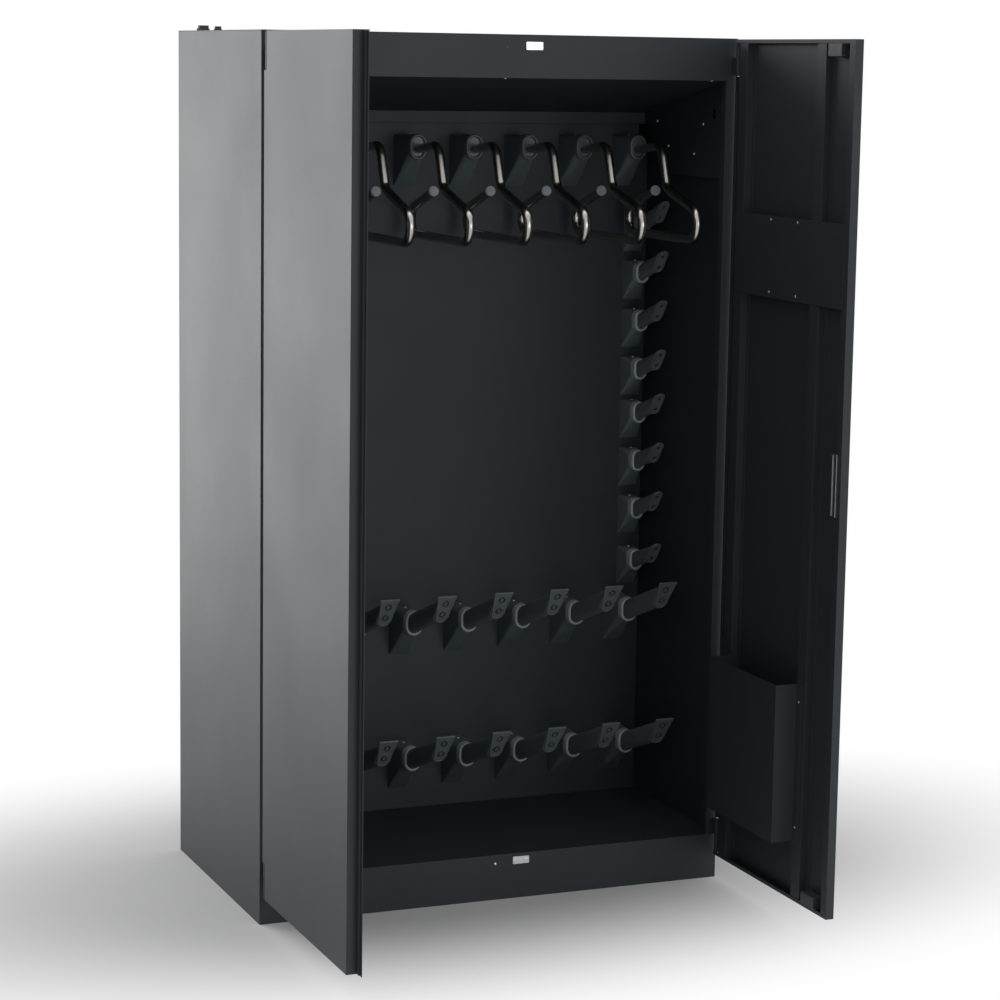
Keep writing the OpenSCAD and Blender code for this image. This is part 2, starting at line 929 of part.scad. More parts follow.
module strike_plates() {
    color(zinc)
        for (z = catch_z)
            difference() {
                block([strike_x - strike_w / 2, front - strike_t, z - strike_h / 2],
                      [strike_x + strike_w / 2, front, z + strike_h / 2]);
                for (x = strike_screw_x())
                    translate([x, front + 1, z])
                        facing_front()
                            cylinder(d = 3.4, h = strike_t + 2);
            }
}

// countersunk screws, flush with the strike plates
module strike_screws() {
    color(zinc)
        for (z = catch_z, x = strike_screw_x())
            translate([x, front - strike_t, z])
                rotate([-90, 0, 0])
                    cylinder(d = 3.2, h = strike_t + sheet + 6);
}

// ---- hinges ----

// heights of the knuckles, from the door's corner inwards
door_knuckle_top = door_top - 2;
door_knuckle_low = door_top - 2 - knuckle_h;
frame_knuckle_top = door_knuckle_low - knuckle_step;
frame_knuckle_low = frame_knuckle_top - knuckle_h;
door_middle = (door_top + door_foot) / 2;

// repeats a hinge part at the door's foot, turned upside down
module top_and_foot() {
    children();
    translate([0, 0, 2 * door_middle])
        mirror([0, 0, 1])
            children();
}

module knuckle(z0, z1) {
    difference() {
        union() {
            translate([0, 0, z0])
                cylinder(d = knuckle_dia, h = z1 - z0);
            children();
        }
        translate([0, 0, z0 - 1])
            cylinder(d = pin_dia + 2 * pin_gap, h = z1 - z0 + 2);
    }
}

// knuckle and angled leaf that is welded to the front of the body
module frame_hinges() {
    leaf_t = 2.5;
    foot_w = 14;
    color(paint)
        top_and_foot()
            translate([-axis_x, axis_y, 0])
                knuckle(frame_knuckle_low, frame_knuckle_top)
                    union() {
                        block([-leaf_t / 2, 0, frame_knuckle_low],
                              [leaf_t / 2, front - axis_y, frame_knuckle_top]);
                        block([-leaf_t / 2, front - axis_y - leaf_t, frame_knuckle_low],
                              [foot_w, front - axis_y, frame_knuckle_top]);
                    }
}

module frame_hinges_left() frame_hinges();
module frame_hinges_right() mirror([1, 0, 0]) frame_hinges();

module hinge_pins() {
    color(zinc)
        top_and_foot()
            translate([-axis_x, axis_y, frame_knuckle_low + 3])
                cylinder(d = pin_dia, h = 2 * knuckle_h + knuckle_step - 6);
}

module hinge_pins_left() hinge_pins();
module hinge_pins_right() mirror([1, 0, 0]) hinge_pins();

// knuckle and leaf that is welded inside the door, in the door's own axes
module door_hinges() {
    leaf_t = 2.5;
    leaf_w = 18;
    color(paint)
        top_and_foot()
            translate([axis_in, axis_t, 0])
                knuckle(door_knuckle_low, door_knuckle_top)
                    block([0, sheet - axis_t, door_knuckle_low],
                          [leaf_w, sheet - axis_t + leaf_t, door_knuckle_top]);
}

module left_door_hinges() on_left_door() door_hinges();
module right_door_hinges() on_right_door() door_hinges();

// ---- doors ----

// folded door pan in the door's own axes
module door_leaf() {
    lip_end = corner_cut + 38;
    color(paint) difference() {
        union() {
            block([0, 0, door_foot], [door_w, sheet, door_top]);
            // hinge edge, shallow, with a short lip between the hinges
            block([0, 0, door_foot], [sheet, hinge_flange_t, door_top]);
            block([0, hinge_flange_t - sheet, door_foot + lip_end],
                  [hinge_lip, hinge_flange_t, door_top - lip_end]);
            // free edge with its lip
            block([door_w - sheet, 0, door_foot], [door_w, door_t, door_top]);
            block([door_w - door_lip, door_t - sheet, door_foot], [door_w, door_t, door_top]);
            // top and foot with their lips
            for (z = [door_foot, door_top - sheet])
                block([0, 0, z], [door_w, door_t, z + sheet]);
            for (z = [door_foot, door_top - door_fold])
                block([cut_s, door_t - sheet, z], [door_w, door_t, z + door_fold]);
        }
        // corners cut away round the hinge knuckles
        for (z = [door_foot - 1, door_top - corner_cut])
            block([-1, -1, z], [cut_s, door_t + 1, z + corner_cut + 1]);
    }
}

module left_door_leaf() on_left_door() door_leaf();
module right_door_leaf() on_right_door() door_leaf();

// box-section stiffeners from the foot to the top of a door
module door_stiffeners() {
    z0 = door_foot + sheet;
    z1 = door_top - sheet;
    lip = door_fold;
    color(paint)
        for (s = stiff_s)
            difference() {
                union() {
                    block([s, door_t - sheet, z0 + lip], [s + stiff_w, door_t, z1 - lip]);
                    for (side = [s, s + stiff_w - sheet])
                        block([side, sheet, z0], [side + sheet, door_t - sheet, z1]);
                    block([s, door_t - 2 * sheet, z0], [s + stiff_w, door_t - sheet, z1]);
                    for (foot = [s - 10, s + stiff_w - sheet])
                        block([foot, sheet, z0], [foot + 10 + sheet, 2 * sheet, z1]);
                }
                // step over the lip at each end
                for (z = [z0 - 1, z1 - lip])
                    block([s - 20, door_t - sheet, z], [s + stiff_w + 20, door_t + 1, z + lip + 1]);
            }
}

module left_door_stiffeners() on_left_door() door_stiffeners();
module right_door_stiffeners() on_right_door() door_stiffeners();

// folded strip behind the left door's edge that the right door closes over
module left_meeting_strip() {
    s0 = door_w - door_lip + 3;
    on_left_door()
        color(paint) union() {
            block([s0, door_t, door_foot], [s0 + sheet, door_t + strip_d, door_top]);
            block([door_w - sheet, door_t, door_foot], [door_w, door_t + strip_d, door_top]);
            block([s0, door_t + strip_d - sheet, door_foot],
                  [door_w + strip_reach, door_t + strip_d, door_top]);
        }
}

// rubber seal on the face of the meeting strip
module meeting_seal() {
    seal_w = 10;
    on_left_door()
        color(black)
            block([door_w + 8, door_t + strip_d - sheet - seal_d, door_foot + 2],
                  [door_w + 8 + seal_w, door_t + strip_d - sheet, door_top - 2]);
}

plate_s = plate_near;
plate_w = door_w - plate_far - plate_near;

// plain plate across the upper part of the right door
module right_cover_plate() {
    on_right_door()
        color(paint)
            difference() {
                block([plate_s, door_t, plate_z], [plate_s + plate_w, door_t + plate_t, plate_z + plate_h]);
                for (at = plate_rivets)
                    translate([at.x, door_t - 1, at.y])
                        rotate([-90, 0, 0])
                            cylinder(d = 4, h = plate_t + 2);
            }
}

plate_rivets = [for (s = [plate_s + 155, plate_s + 281], z = [plate_z + 12, plate_z + plate_h - 9]) [s, z]];
pocket_s0 = stiff_s[0] + stiff_w;
pocket_s1 = stiff_s[1];
pocket_wing = 24;
pocket_rivets = [
    for (s = [pocket_s0 - pocket_wing / 2, pocket_s1 + pocket_wing / 2],
         z = [pocket_z + 35, pocket_z + pocket_h - 39]) [s, z]
];

// open-topped pocket that hangs between the stiffeners of the right door
module document_pocket() {
    t0 = door_t;
    t1 = door_t + pocket_d;
    z1 = pocket_z + pocket_h;
    on_right_door()
        color(paint) difference() {
            union() {
                block([pocket_s0, t1 - pocket_t, pocket_z], [pocket_s1, t1, z1]);
                for (s = [pocket_s0, pocket_s1 - pocket_t])
                    block([s, t0, pocket_z], [s + pocket_t, t1, z1]);
                block([pocket_s0, sheet + 0.5, pocket_z], [pocket_s1, t1, pocket_z + pocket_t]);
                for (s = [pocket_s0 - pocket_wing, pocket_s1 - pocket_t])
                    block([s, t0, pocket_z], [s + pocket_wing + pocket_t, t0 + pocket_t, z1]);
            }
            for (at = pocket_rivets)
                translate([at.x, t0 - 1, at.y])
                    rotate([-90, 0, 0])
                        cylinder(d = 4, h = pocket_t + 2);
            // foot is trimmed round the feet of the stiffeners
            for (s = [pocket_s0 - 1, pocket_s1 - 11])
                block([s, 0, pocket_z - 1], [s + 12, 2 * sheet + 0.3, pocket_z + pocket_t + 1]);
        }
}

module right_door_rivets() {
    on_right_door()
        color(zinc) {
            for (at = plate_rivets)
                translate([at.x, door_t + plate_t, at.y])
                    rotate([-90, 0, 0])
                        button_head(screw_dia, screw_h);
            for (at = pocket_rivets)
                translate([at.x, door_t + pocket_t, at.y])
                    rotate([-90, 0, 0])
                        button_head(screw_dia, screw_h);
        }
}

catch_s = half_w - catch_x;
catch_wall = 2.5;
magnet_l = 40;

// box that reaches to the strike plate, open towards the free edge
module catch_housings() {
    on_right_door()
        color(moulded)
            for (z = catch_z)
                difference() {
                    block([catch_s - catch_w / 2, sheet, z - catch_h / 2],
                          [catch_s + catch_w / 2, catch_t, z + catch_h / 2]);
                    block([catch_s + catch_w / 2 - magnet_l, sheet + catch_wall,
                           z - catch_h / 2 + catch_wall],
                          [catch_s + catch_w / 2 + 1, catch_t - catch_wall,
                           z + catch_h / 2 - catch_wall]);
                }
}

module catch_magnets() {
    on_right_door()
        color(black)
            for (z = catch_z)
                block([catch_s + catch_w / 2 - magnet_l, sheet + catch_wall,
                       z - catch_h / 2 + catch_wall],
                      [catch_s + catch_w / 2 - 4, catch_t - catch_wall,
                       z + catch_h / 2 - catch_wall]);
}

pull_w = 26;
pull_t = 4;

// hollow strip to draw the right door shut with the fingertips
module pull_strip() {
    s0 = door_w - 15 - pull_w;
    on_right_door()
        color(zinc)
            difference() {
                block([s0, door_t, pull_z - pull_h / 2], [s0 + pull_w, door_t + pull_t, pull_z + pull_h / 2]);
                block([s0 + 9, door_t + 2, pull_z - pull_h / 2 + 2],
                      [s0 + 17, door_t + pull_t + 1, pull_z + pull_h / 2 - 2]);
            }
}

// ---- blower, heater and wiring ----

module blower_shelf() {
    y0 = panel_y + sheet;
    y1 = back - 2 * sheet;
    color(paint) difference() {
        block([-wall_x, y0, shelf_top - sheet], [wall_x, y1, shelf_top]);
        block([-housing_w / 2 + 2, wheel_y - outlet_w / 2, shelf_top - sheet - 1],
              [housing_w / 2 - 2, wheel_y + outlet_w / 2, shelf_top + 1]);
    }
}

// outline of the scroll: the round case and its outlet down to the shelf
module scroll_outline(inset) {
    circle(r = housing_r - inset);
    translate([-outlet_w / 2 - housing_wall + inset, shelf_top - wheel_z - (inset > 0 ? 1 : 0)])
        square([outlet_w + 2 * housing_wall - 2 * inset, wheel_z - shelf_top]);
}

module blower_housing() {
    color([0.62, 0.64, 0.66])
        translate([-housing_w / 2, wheel_y, wheel_z])
            rotate([90, 0, 90])
                difference() {
                    linear_extrude(housing_w)
                        scroll_outline(0);
                    translate([0, 0, housing_wall])
                        linear_extrude(housing_w - 2 * housing_wall)
                            scroll_outline(housing_wall);
                    translate([0, 0, -1])
                        cylinder(d = inlet_dia, h = housing_w + 2);
                }
}

module along_wheel(x) {
    translate([x, wheel_y, wheel_z])
        rotate([0, 90, 0])
            children();
}

// motor beside the housing, on a foot that stands on the shelf
module blower_motor() {
    x0 = housing_w / 2 + 14;
    color([0.35, 0.36, 0.38])
        union() {
            along_wheel(x0)
                cylinder(d = motor_dia, h = motor_l);
            along_wheel(-wheel_w / 2 - 4)
                cylinder(d = shaft_dia, h = x0 + wheel_w / 2 + 4 + eps);
            block([x0 + 12, wheel_y - 30, shelf_top], [x0 + motor_l - 12, wheel_y + 30, wheel_z - motor_dia / 2 + 6]);
        }
}

// squirrel-cage wheel: end rings, a hub disc in the middle and the blades
module blower_wheel() {
    ring_w = 4;
    r = wheel_dia / 2;
    color([0.5, 0.52, 0.55])
        along_wheel(-wheel_w / 2)
            union() {
                for (z = [0, wheel_w - ring_w])
                    translate([0, 0, z])
                        difference() {
                            cylinder(r = r, h = ring_w);
                            translate([0, 0, -1])
                                cylinder(r = r - blade_l, h = ring_w + 2);
                        }
                translate([0, 0, wheel_w / 2 - 1])
                    difference() {
                        union() {
                            cylinder(r = r - 1, h = 2);
                            translate([0, 0, -9])
                                cylinder(d = shaft_dia + 12, h = 20);
                        }
                        translate([0, 0, -12])
                            cylinder(d = shaft_dia + 2 * pin_gap, h = 26);
                    }
                for (i = [0 : blades - 1])
                    rotate([0, 0, i * 360 / blades])
                        translate([r - blade_l + 1, -blade_t / 2, 1])
                            cube([blade_l - 2, blade_t, wheel_w - 2]);
            }
}

// open frame under the shelf that holds the heating rods
module heater_frame() {
    x = heater_l / 2;
    y = heater_d / 2;
    z0 = heater_top - heater_h;
    color(zinc) difference() {
        union() {
            difference() {
                block([-x, wheel_y - y, z0], [x, wheel_y + y, heater_top]);
                block([-x + sheet, wheel_y - y + sheet, z0 - 1],
                      [x - sheet, wheel_y + y - sheet, heater_top + 1]);
            }
        }
        heater_rods(heater_rod_dia + 0.4, heater_l / 2 + 10);
    }
}

heater_rod_dia = 8;

module heater_rods(d, half_l) {
    for (y = [-30, 0, 30])
        translate([-half_l, wheel_y + y, heater_top - heater_h / 2])
            rotate([0, 90, 0])
                cylinder(d = d, h = 2 * half_l, $fn = 24);
}

// three heating rods through a pack of thin fins
module heater_element() {
    fins = 18;
    fin_w = heater_d - 24;
    fin_h = heater_h - 40;
    pitch = (heater_l - 40) / (fins - 1);
    z = heater_top - heater_h / 2;
    color(copper) union() {
        heater_rods(heater_rod_dia, heater_l / 2 + 8);
        for (i = [0 : fins - 1])
            translate([-heater_l / 2 + 20 + i * pitch, wheel_y, z])
                cube([1, fin_w, fin_h], center = true);
    }
}

// electronics in a closed box under the roof, behind the header
module control_box() {
    x0 = -half_w + 160;
    y0 = front + fold_d + 12;
    z0 = head_z + 12;
    wall = 2.5;
    color([0.7, 0.7, 0.68])
        difference() {
            block([x0, y0, z0], [x0 + 240, y0 + 70, roof_under]);
            block([x0 + wall, y0 + wall, z0 + wall], [x0 + 240 - wall, y0 + 70 - wall, roof_under + 1]);
        }
}

// hexagonal glands through the roof for the mains lead and the sensor lead
module cable_glands() {
    color(black)
        for (i = [0, 1])
            translate([gland_at[i].x, gland_at[i].y, 0])
                difference() {
                    union() {
                        translate([0, 0, body_h])
                            cylinder(r = 2 * gland_r[i], h = 6, $fn = 6);
                        translate([0, 0, body_h + 5])
                            cylinder(r = 1.6 * gland_r[i], h = 4 + gland_r[i] / 2);
                        translate([0, 0, roof_under - 12])
                            cylinder(r = gland_r[i] + 1.8, h = 14);
                        translate([0, 0, roof_under - 6])
                            cylinder(r = 2 * gland_r[i], h = 6, $fn = 6);
                    }
                    translate([0, 0, roof_under - 20])
                        cylinder(r = gland_r[i] - 2, h = 50);
                }
}

side_panel_left();
side_panel_right();
back_panel();
roof_panel();
floor_panel();
floor_support();
bottom_rail();
header_panel();
ceiling_baffle();
nozzle_panel();
chamber_lip();
duct_cover_left();
duct_cover_right();
panel_screws();
hanger_hoods();
hanger_1();
hanger_2();
hanger_3();
hanger_4();
hanger_5();
hanger_6();
hanger_7();
hanger_8();
hanger_knobs();
boot_hoods();
boot_tubes();
boot_caps();
glove_hoods();
glove_tubes();
glove_caps();
hood_screws();
strike_plates();
strike_screws();
frame_hinges_left();
frame_hinges_right();
hinge_pins_left();
hinge_pins_right();
blower_shelf();
blower_housing();
blower_motor();
blower_wheel();
heater_frame();
heater_element();
control_box();
cable_glands();
left_door_leaf();
left_door_stiffeners();
left_meeting_strip();
meeting_seal();
left_door_hinges();
right_door_leaf();
right_door_stiffeners();
right_cover_plate();
document_pocket();
right_door_rivets();
catch_housings();
catch_magnets();
pull_strip();
right_door_hinges();
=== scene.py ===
# Looks of the drying cabinet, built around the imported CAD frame.
# X to the right, Y to the back, Z up, floor at z = 0. Shapes are drawn in millimetres
# and turned to metres when they become pieces.
import json
import math
import bmesh
import bpy
from mathutils import Matrix, Vector


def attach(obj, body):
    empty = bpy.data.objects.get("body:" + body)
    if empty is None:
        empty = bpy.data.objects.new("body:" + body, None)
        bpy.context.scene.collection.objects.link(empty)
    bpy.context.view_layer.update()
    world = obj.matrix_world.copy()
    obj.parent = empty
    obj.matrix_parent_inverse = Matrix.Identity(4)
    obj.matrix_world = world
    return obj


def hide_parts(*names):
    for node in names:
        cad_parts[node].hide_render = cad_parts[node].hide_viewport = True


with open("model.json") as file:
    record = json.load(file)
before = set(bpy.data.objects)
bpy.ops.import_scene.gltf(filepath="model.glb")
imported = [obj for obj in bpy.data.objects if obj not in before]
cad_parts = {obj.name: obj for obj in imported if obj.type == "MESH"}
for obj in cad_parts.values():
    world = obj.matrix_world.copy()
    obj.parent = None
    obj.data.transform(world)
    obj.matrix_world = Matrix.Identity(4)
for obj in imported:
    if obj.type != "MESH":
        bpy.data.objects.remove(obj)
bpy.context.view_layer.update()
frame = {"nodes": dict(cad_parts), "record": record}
nodes = frame["nodes"]
print("frame loaded,", len(nodes), "nodes")


# materials

def toLinear(hexColour):
    parts = [int(hexColour[i:i + 2], 16) / 255 for i in (1, 3, 5)]
    return [p / 12.92 if p <= 0.04045 else ((p + 0.055) / 1.055) ** 2.4 for p in parts] + [1.0]


def addNode(tree, kind, settings={}, values={}, links={}):
    node = tree.nodes.new(kind)
    for name, value in settings.items():
        setattr(node, name, value)
    for socket, value in values.items():
        node.inputs[socket].default_value = value
    for socket, source in links.items():
        tree.links.new(source, node.inputs[socket])
    return node


def mixColours(tree, share, first, second):
    # 6 and 7 are the Mix node's colour inputs, 2 its colour output
    mix = addNode(tree, "ShaderNodeMix", {"data_type": "RGBA"}, {6: toLinear(first), 7: toLinear(second)},
                  {0: share})
    return mix.outputs[2]


def mixNumbers(tree, share, first, second):
    # 2 and 3 are the Mix node's number inputs, 0 its number output
    return addNode(tree, "ShaderNodeMix", values={0: share}, links={2: first, 3: second}).outputs[0]


# the noise textures stay mostly within these values, which are stretched to the full range
noiseRange = {"From Min": 0.3, "From Max": 0.7}


def makeFinish(name, look):
    finish = bpy.data.materials.new(name)
    finish.use_nodes = True
    tree = finish.node_tree
    tree.nodes.clear()
    place = addNode(tree, "ShaderNodeTexCoord").outputs["Object"]
    lengthwise = addNode(tree, "ShaderNodeMapping", values={"Scale": look.get("stretch", (1, 1, 1))},
                         links={"Vector": place}).outputs[0]
    # slow change of tone and gloss over the surface
    drift = addNode(tree, "ShaderNodeTexNoise", values={"Scale": 1000 / look["driftMm"], "Detail": 3.0},
                    links={"Vector": place}).outputs[0]
    # fine grain that carries the bump and breaks the gloss up
    grain = addNode(tree, look.get("grainKind", "ShaderNodeTexNoise"),
                    values={"Scale": 1000 / look["grainMm"]}, links={"Vector": lengthwise}).outputs[0]
    tone = addNode(tree, "ShaderNodeMapRange", values=noiseRange, links={"Value": drift}).outputs[0]
    if look.get("grainTone"):
        tone = mixNumbers(tree, look["grainTone"], tone, grain)
    colour = mixColours(tree, tone, look["colour"], look["shade"])
    smoothest, roughest = look["roughness"]
    roughness = addNode(tree, "ShaderNodeMapRange",
                        values=noiseRange | {"To Min": smoothest, "To Max": roughest},
                        links={"Value": mixNumbers(tree, 0.5, drift, grain)}).outputs[0]
    bump = addNode(tree, "ShaderNodeBump", values={"Strength": 1.0, "Distance": look["heightMm"] / 1000},
                   links={"Height": grain}).outputs[0]
    shader = addNode(tree, "ShaderNodeBsdfPrincipled", values=look.get("shader", {}),
                     links={"Base Color": colour, "Roughness": roughness, "Normal": bump})
    addNode(tree, "ShaderNodeOutputMaterial", links={"Surface": shader.outputs[0]})
    return finish


finishes = {}
# satin polyester powder coat, sprayed and stoved: dark blue grey with a faint orange peel,
# whose cells are really 1 to 2 mm and are drawn at 3 mm so that they show
finishes["paint"] = makeFinish("anthracitePowderCoat", {
    "colour": "#20282c", "shade": "#1e2529", "driftMm": 320, "grainMm": 3, "heightMm": 0.012,
    "roughness": (0.52, 0.6), "shader": {"Specular IOR Level": 0.37}})
# black chrome on bent steel tube: bright but not a mirror, warm grey, with faint lines from the drawing die
finishes["dark_chrome"] = makeFinish("blackChromePlatedTube", {
    "colour": "#b2aeaa", "shade": "#a39f9b", "driftMm": 60, "grainMm": 2, "stretch": (1, 0.12, 0.12),
    "heightMm": 0.003, "roughness": (0.2, 0.25), "shader": {"Metallic": 1.0}})
# polypropylene hoods and tubes, moulded in a spark-eroded tool: even cool grey, matt, finely pitted
finishes["moulded_plastic"] = makeFinish("sparkErodedPolypropylene", {
    "colour": "#535d63", "shade": "#4d575c", "driftMm": 90, "grainMm": 1.2, "heightMm": 0.03,
    "roughness": (0.5, 0.6), "shader": {"Specular IOR Level": 0.4}})
# ABS end caps and hanger collars, moulded, close to the tubes' tone and a little glossier
finishes["cap_plastic"] = makeFinish("mouldedGreyAbs", {
    "colour": "#525a5e", "shade": "#4b5357", "driftMm": 70, "grainMm": 1.2, "heightMm": 0.012,
    "roughness": (0.36, 0.44)})
# ABS knobs of the hangers, moulded in a pale cool grey; the nozzles' collars take it too, and their paler
# grey than the hangers' collars is painted light
finishes["knob_plastic"] = makeFinish("mouldedPaleAbs", {
    "colour": "#989ea2", "shade": "#8d9498", "driftMm": 40, "grainMm": 1.2, "heightMm": 0.015,
    "roughness": (0.42, 0.52)})
# bright zinc plate on pressed steel: white metal with a slight cloud and roll lines
finishes["bright_steel"] = makeFinish("brightZincPlatedSteel", {
    "colour": "#e4e6e8", "shade": "#cfd3d7", "driftMm": 12, "grainMm": 0.8, "stretch": (0.15, 1, 1),
    "heightMm": 0.004, "roughness": (0.24, 0.36), "shader": {"Metallic": 1.0}})
# extruded EPDM seal: near black, matt, with extrusion lines along its length
finishes["seal_rubber"] = makeFinish("extrudedEpdmRubber", {
    "colour": "#17181a", "shade": "#1f2022", "driftMm": 60, "grainMm": 1.5, "stretch": (1, 1, 0.05),
    "heightMm": 0.02, "roughness": (0.68, 0.8), "shader": {"Specular IOR Level": 0.35}})
# glass-filled nylon catch blocks, moulded in the body's grey, slightly mottled by the fibres
finishes["catch_plastic"] = makeFinish("mouldedGlassNylon", {
    "colour": "#33393d", "shade": "#2c3135", "driftMm": 14, "grainMm": 1.0, "heightMm": 0.025,
    "roughness": (0.5, 0.62), "grainTone": 0.4})
# pressed ferrite magnets: charcoal, sintered and dusty
finishes["magnet"] = makeFinish("sinteredFerrite", {
    "colour": "#2e2d2d", "shade": "#232222", "driftMm": 8, "grainMm": 0.8, "heightMm": 0.03,
    "roughness": (0.6, 0.78), "grainTone": 0.5})
# extruded aluminium pull strip, anodised: silky mid grey with die lines along its length
finishes["pull_aluminium"] = makeFinish("anodisedExtrudedAluminium", {
    "colour": "#9a9ea1", "shade": "#8c9093", "driftMm": 30, "grainMm": 0.9, "stretch": (1, 1, 0.03),
    "heightMm": 0.006, "roughness": (0.34, 0.46), "shader": {"Metallic": 1.0}})
# hot-dip galvanised sheet: pale grey spangle about 9 mm across
finishes["housing_steel"] = makeFinish("hotDipGalvanisedSheet", {
    "colour": "#b4b9bd", "shade": "#9ca2a7", "driftMm": 30, "grainMm": 9, "heightMm": 0.01,
    "grainKind": "ShaderNodeTexVoronoi", "roughness": (0.34, 0.5), "grainTone": 0.7,
    "shader": {"Metallic": 1.0}})
# motor case, dipped in grey alkyd paint: thick, glossy, slightly uneven
finishes["motor_paint"] = makeFinish("dippedAlkydPaint", {
    "colour": "#5b5f63", "shade": "#505458", "driftMm": 40, "grainMm": 7, "heightMm": 0.03,
    "roughness": (0.28, 0.4)})
# heating rods and fins, aluminium browned by heat in soft bands
finishes["heater_metal"] = makeFinish("heatStainedAluminium", {
    "colour": "#b9a18a", "shade": "#8d7f78", "driftMm": 35, "grainMm": 1.5, "heightMm": 0.01,
    "roughness": (0.35, 0.5), "shader": {"Metallic": 1.0}})
# control box, moulded light grey ABS with a satin texture
finishes["box_plastic"] = makeFinish("mouldedLightAbs", {
    "colour": "#c9c9c4", "shade": "#c0c0bb", "driftMm": 80, "grainMm": 1.4, "heightMm": 0.02,
    "roughness": (0.45, 0.56)})
# nylon cable glands and small trims, moulded black, smooth but dull
finishes["gland_plastic"] = makeFinish("mouldedBlackNylon", {
    "colour": "#1d1e20", "shade": "#242527", "driftMm": 20, "grainMm": 1.0, "heightMm": 0.015,
    "roughness": (0.42, 0.55)})

slotOf = {part["node"]: part["material_slot"] for part in frame["record"]["subparts"]}
for name, node in nodes.items():
    for entry in node.material_slots:
        entry.material = finishes[slotOf[name]]
print("materials made:", len(finishes))


# helpers for places

bodyFront, bodyBack = -325, 325
panelY = 145  # front of the nozzle panel
rightDoor = {"outerX": 573, "hingeEdgeY": -339}  # open, as in the photo


def axes(origin, u, v):
    u, v = Vector(u), Vector(v)
    return Matrix.Translation(origin) @ Matrix((u, v, u.cross(v))).transposed().to_4x4()


def facingFront(x, y, z):
    return axes((x, y, z), (1, 0, 0), (0, 0, 1))


def onRightDoor(s, t, z):
    # s from the hinge edge, t inwards from the outer face
    return axes((rightDoor["outerX"] - t, rightDoor["hingeEdgeY"] - s, z), (0, -1, 0), (0, 0, 1))


# helpers for shapes

def makePiece(name, bm, slot, body="cabinet", replaced=(), smoothBelow=34):
    # edges whose faces meet at less than smoothBelow degrees are shaded as one surface
    bmesh.ops.recalc_face_normals(bm, faces=bm.faces)
    bm.transform(Matrix.Scale(0.001, 4))
    mesh = bpy.data.meshes.new(name)
    bm.to_mesh(mesh)
    bm.free()
    mesh.materials.append(finishes[slot])
    mesh.polygons.foreach_set("use_smooth", [True] * len(mesh.polygons))
    mesh.set_sharp_from_angle(angle=math.radians(smoothBelow))
    piece = bpy.data.objects.new(name, mesh)
    bpy.context.scene.collection.objects.link(piece)
    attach(piece, body)
    if replaced:
        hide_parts(*replaced)
    return piece


def keepFlat(piece):
    # long flat sides stay flat beside their narrow rounded edges
    flat = piece.modifiers.new("flatSides", "WEIGHTED_NORMAL")
    flat.keep_sharp = True


def repeated(shapes):
    # joins copies of finished shapes, each at its places
    whole = bmesh.new()
    for shape, places in shapes:
        for place in places:
            mesh = bpy.data.meshes.new("copy")
            shape.to_mesh(mesh)
            mesh.transform(place)
            whole.from_mesh(mesh)
            bpy.data.meshes.remove(mesh)
        shape.free()
    return whole


cornerMerge = 0.3  # rounded corners that meet leave points closer than this


def roundedFace(bm, corners, radii, steps):
    # flat face through a few corners, each rounded by its own radius
    points = [bm.verts.new((x, y, 0)) for x, y in corners]
    bm.faces.new(points)
    for radius in sorted(set(radii) - {0}):
        chosen = [p for p, r in zip(points, radii) if r == radius]
        bmesh.ops.bevel(bm, geom=chosen, offset=radius, offset_type="OFFSET", segments=steps, profile=0.5,
                        affect="VERTICES", material=-1)
    bmesh.ops.remove_doubles(bm, verts=bm.faces[:][-1].verts[:], dist=cornerMerge)
    return bm.faces[:][-1]


def boxCorners(width, height):
    x, y = width / 2, height / 2
    return [(-x, -y), (x, -y), (x, y), (-x, y)]


def stepFace(bm, face, steps):
    # insets the face and lifts it again and again: (inset, lift) in millimetres
    for inset, lift in steps:
        bmesh.ops.inset_region(bm, faces=[face], thickness=inset, depth=lift, use_even_offset=True,
                               use_boundary=True)
    return face


def closeBack(bm):
    bmesh.ops.holes_fill(bm, edges=[e for e in bm.edges if e.is_boundary], sides=0)


def closeRings(bm):
    # joins the two open edges of each ring underneath
    loose = [e for e in bm.edges if e.is_boundary]
    while loose:
        island, todo = set(), [loose[0].verts[0]]
        while todo:
            v = todo.pop()
            if v in island:
                continue
            island.add(v)
            todo += [e.other_vert(v) for e in v.link_edges]
        bmesh.ops.bridge_loops(bm, edges=[e for e in loose if e.verts[0] in island])
        loose = [e for e in loose if e.verts[0] not in island]


def turnedShape(look):
    # round piece on its seat: a disc whose face is stepped
    bm = bmesh.new()
    bmesh.ops.create_circle(bm, cap_ends=True, segments=look["sides"], radius=look["radius"])
    stepFace(bm, bm.faces[:][0], look["steps"])
    closeBack(bm)
    return bm


# sheet-metal and moulded parts whose shape is right and whose edges want their fold radius

softening = {"merge": 0.01, "flatBelow": 0.6, "foldAbove": 40, "steps": 2, "smoothBelow": 30}
# the pins are coated together with their knuckles, so that no bright end shows
slotChanges = {"hinge_pins_left": "paint", "hinge_pins_right": "paint"}
edgeWidths = {
    "cabinet": {
        "side_panel_left": 0.6, "side_panel_right": 0.6, "roof_panel": 0.6, "back_panel": 0.5,
        "header_panel": 0.6, "bottom_rail": 0.6, "chamber_lip": 0.5, "duct_cover_left": 0.5,
        "duct_cover_right": 0.5, "frame_hinges_left": 0.5, "frame_hinges_right": 0.5,
        "hinge_pins_left": 0.5, "hinge_pins_right": 0.5, "cable_glands": 0.6},
    "left_door": {
        "left_door_leaf": 0.6, "left_door_stiffeners": 0.5, "left_meeting_strip": 0.5,
        "left_door_hinges": 0.5, "meeting_seal": 0.8},
    "right_door": {
        "right_door_leaf": 0.6, "right_door_stiffeners": 0.5, "right_cover_plate": 0.4,
        "document_pocket": 0.4, "catch_housings": 0.8, "pull_strip": 0.6, "right_door_hinges": 0.5},
}


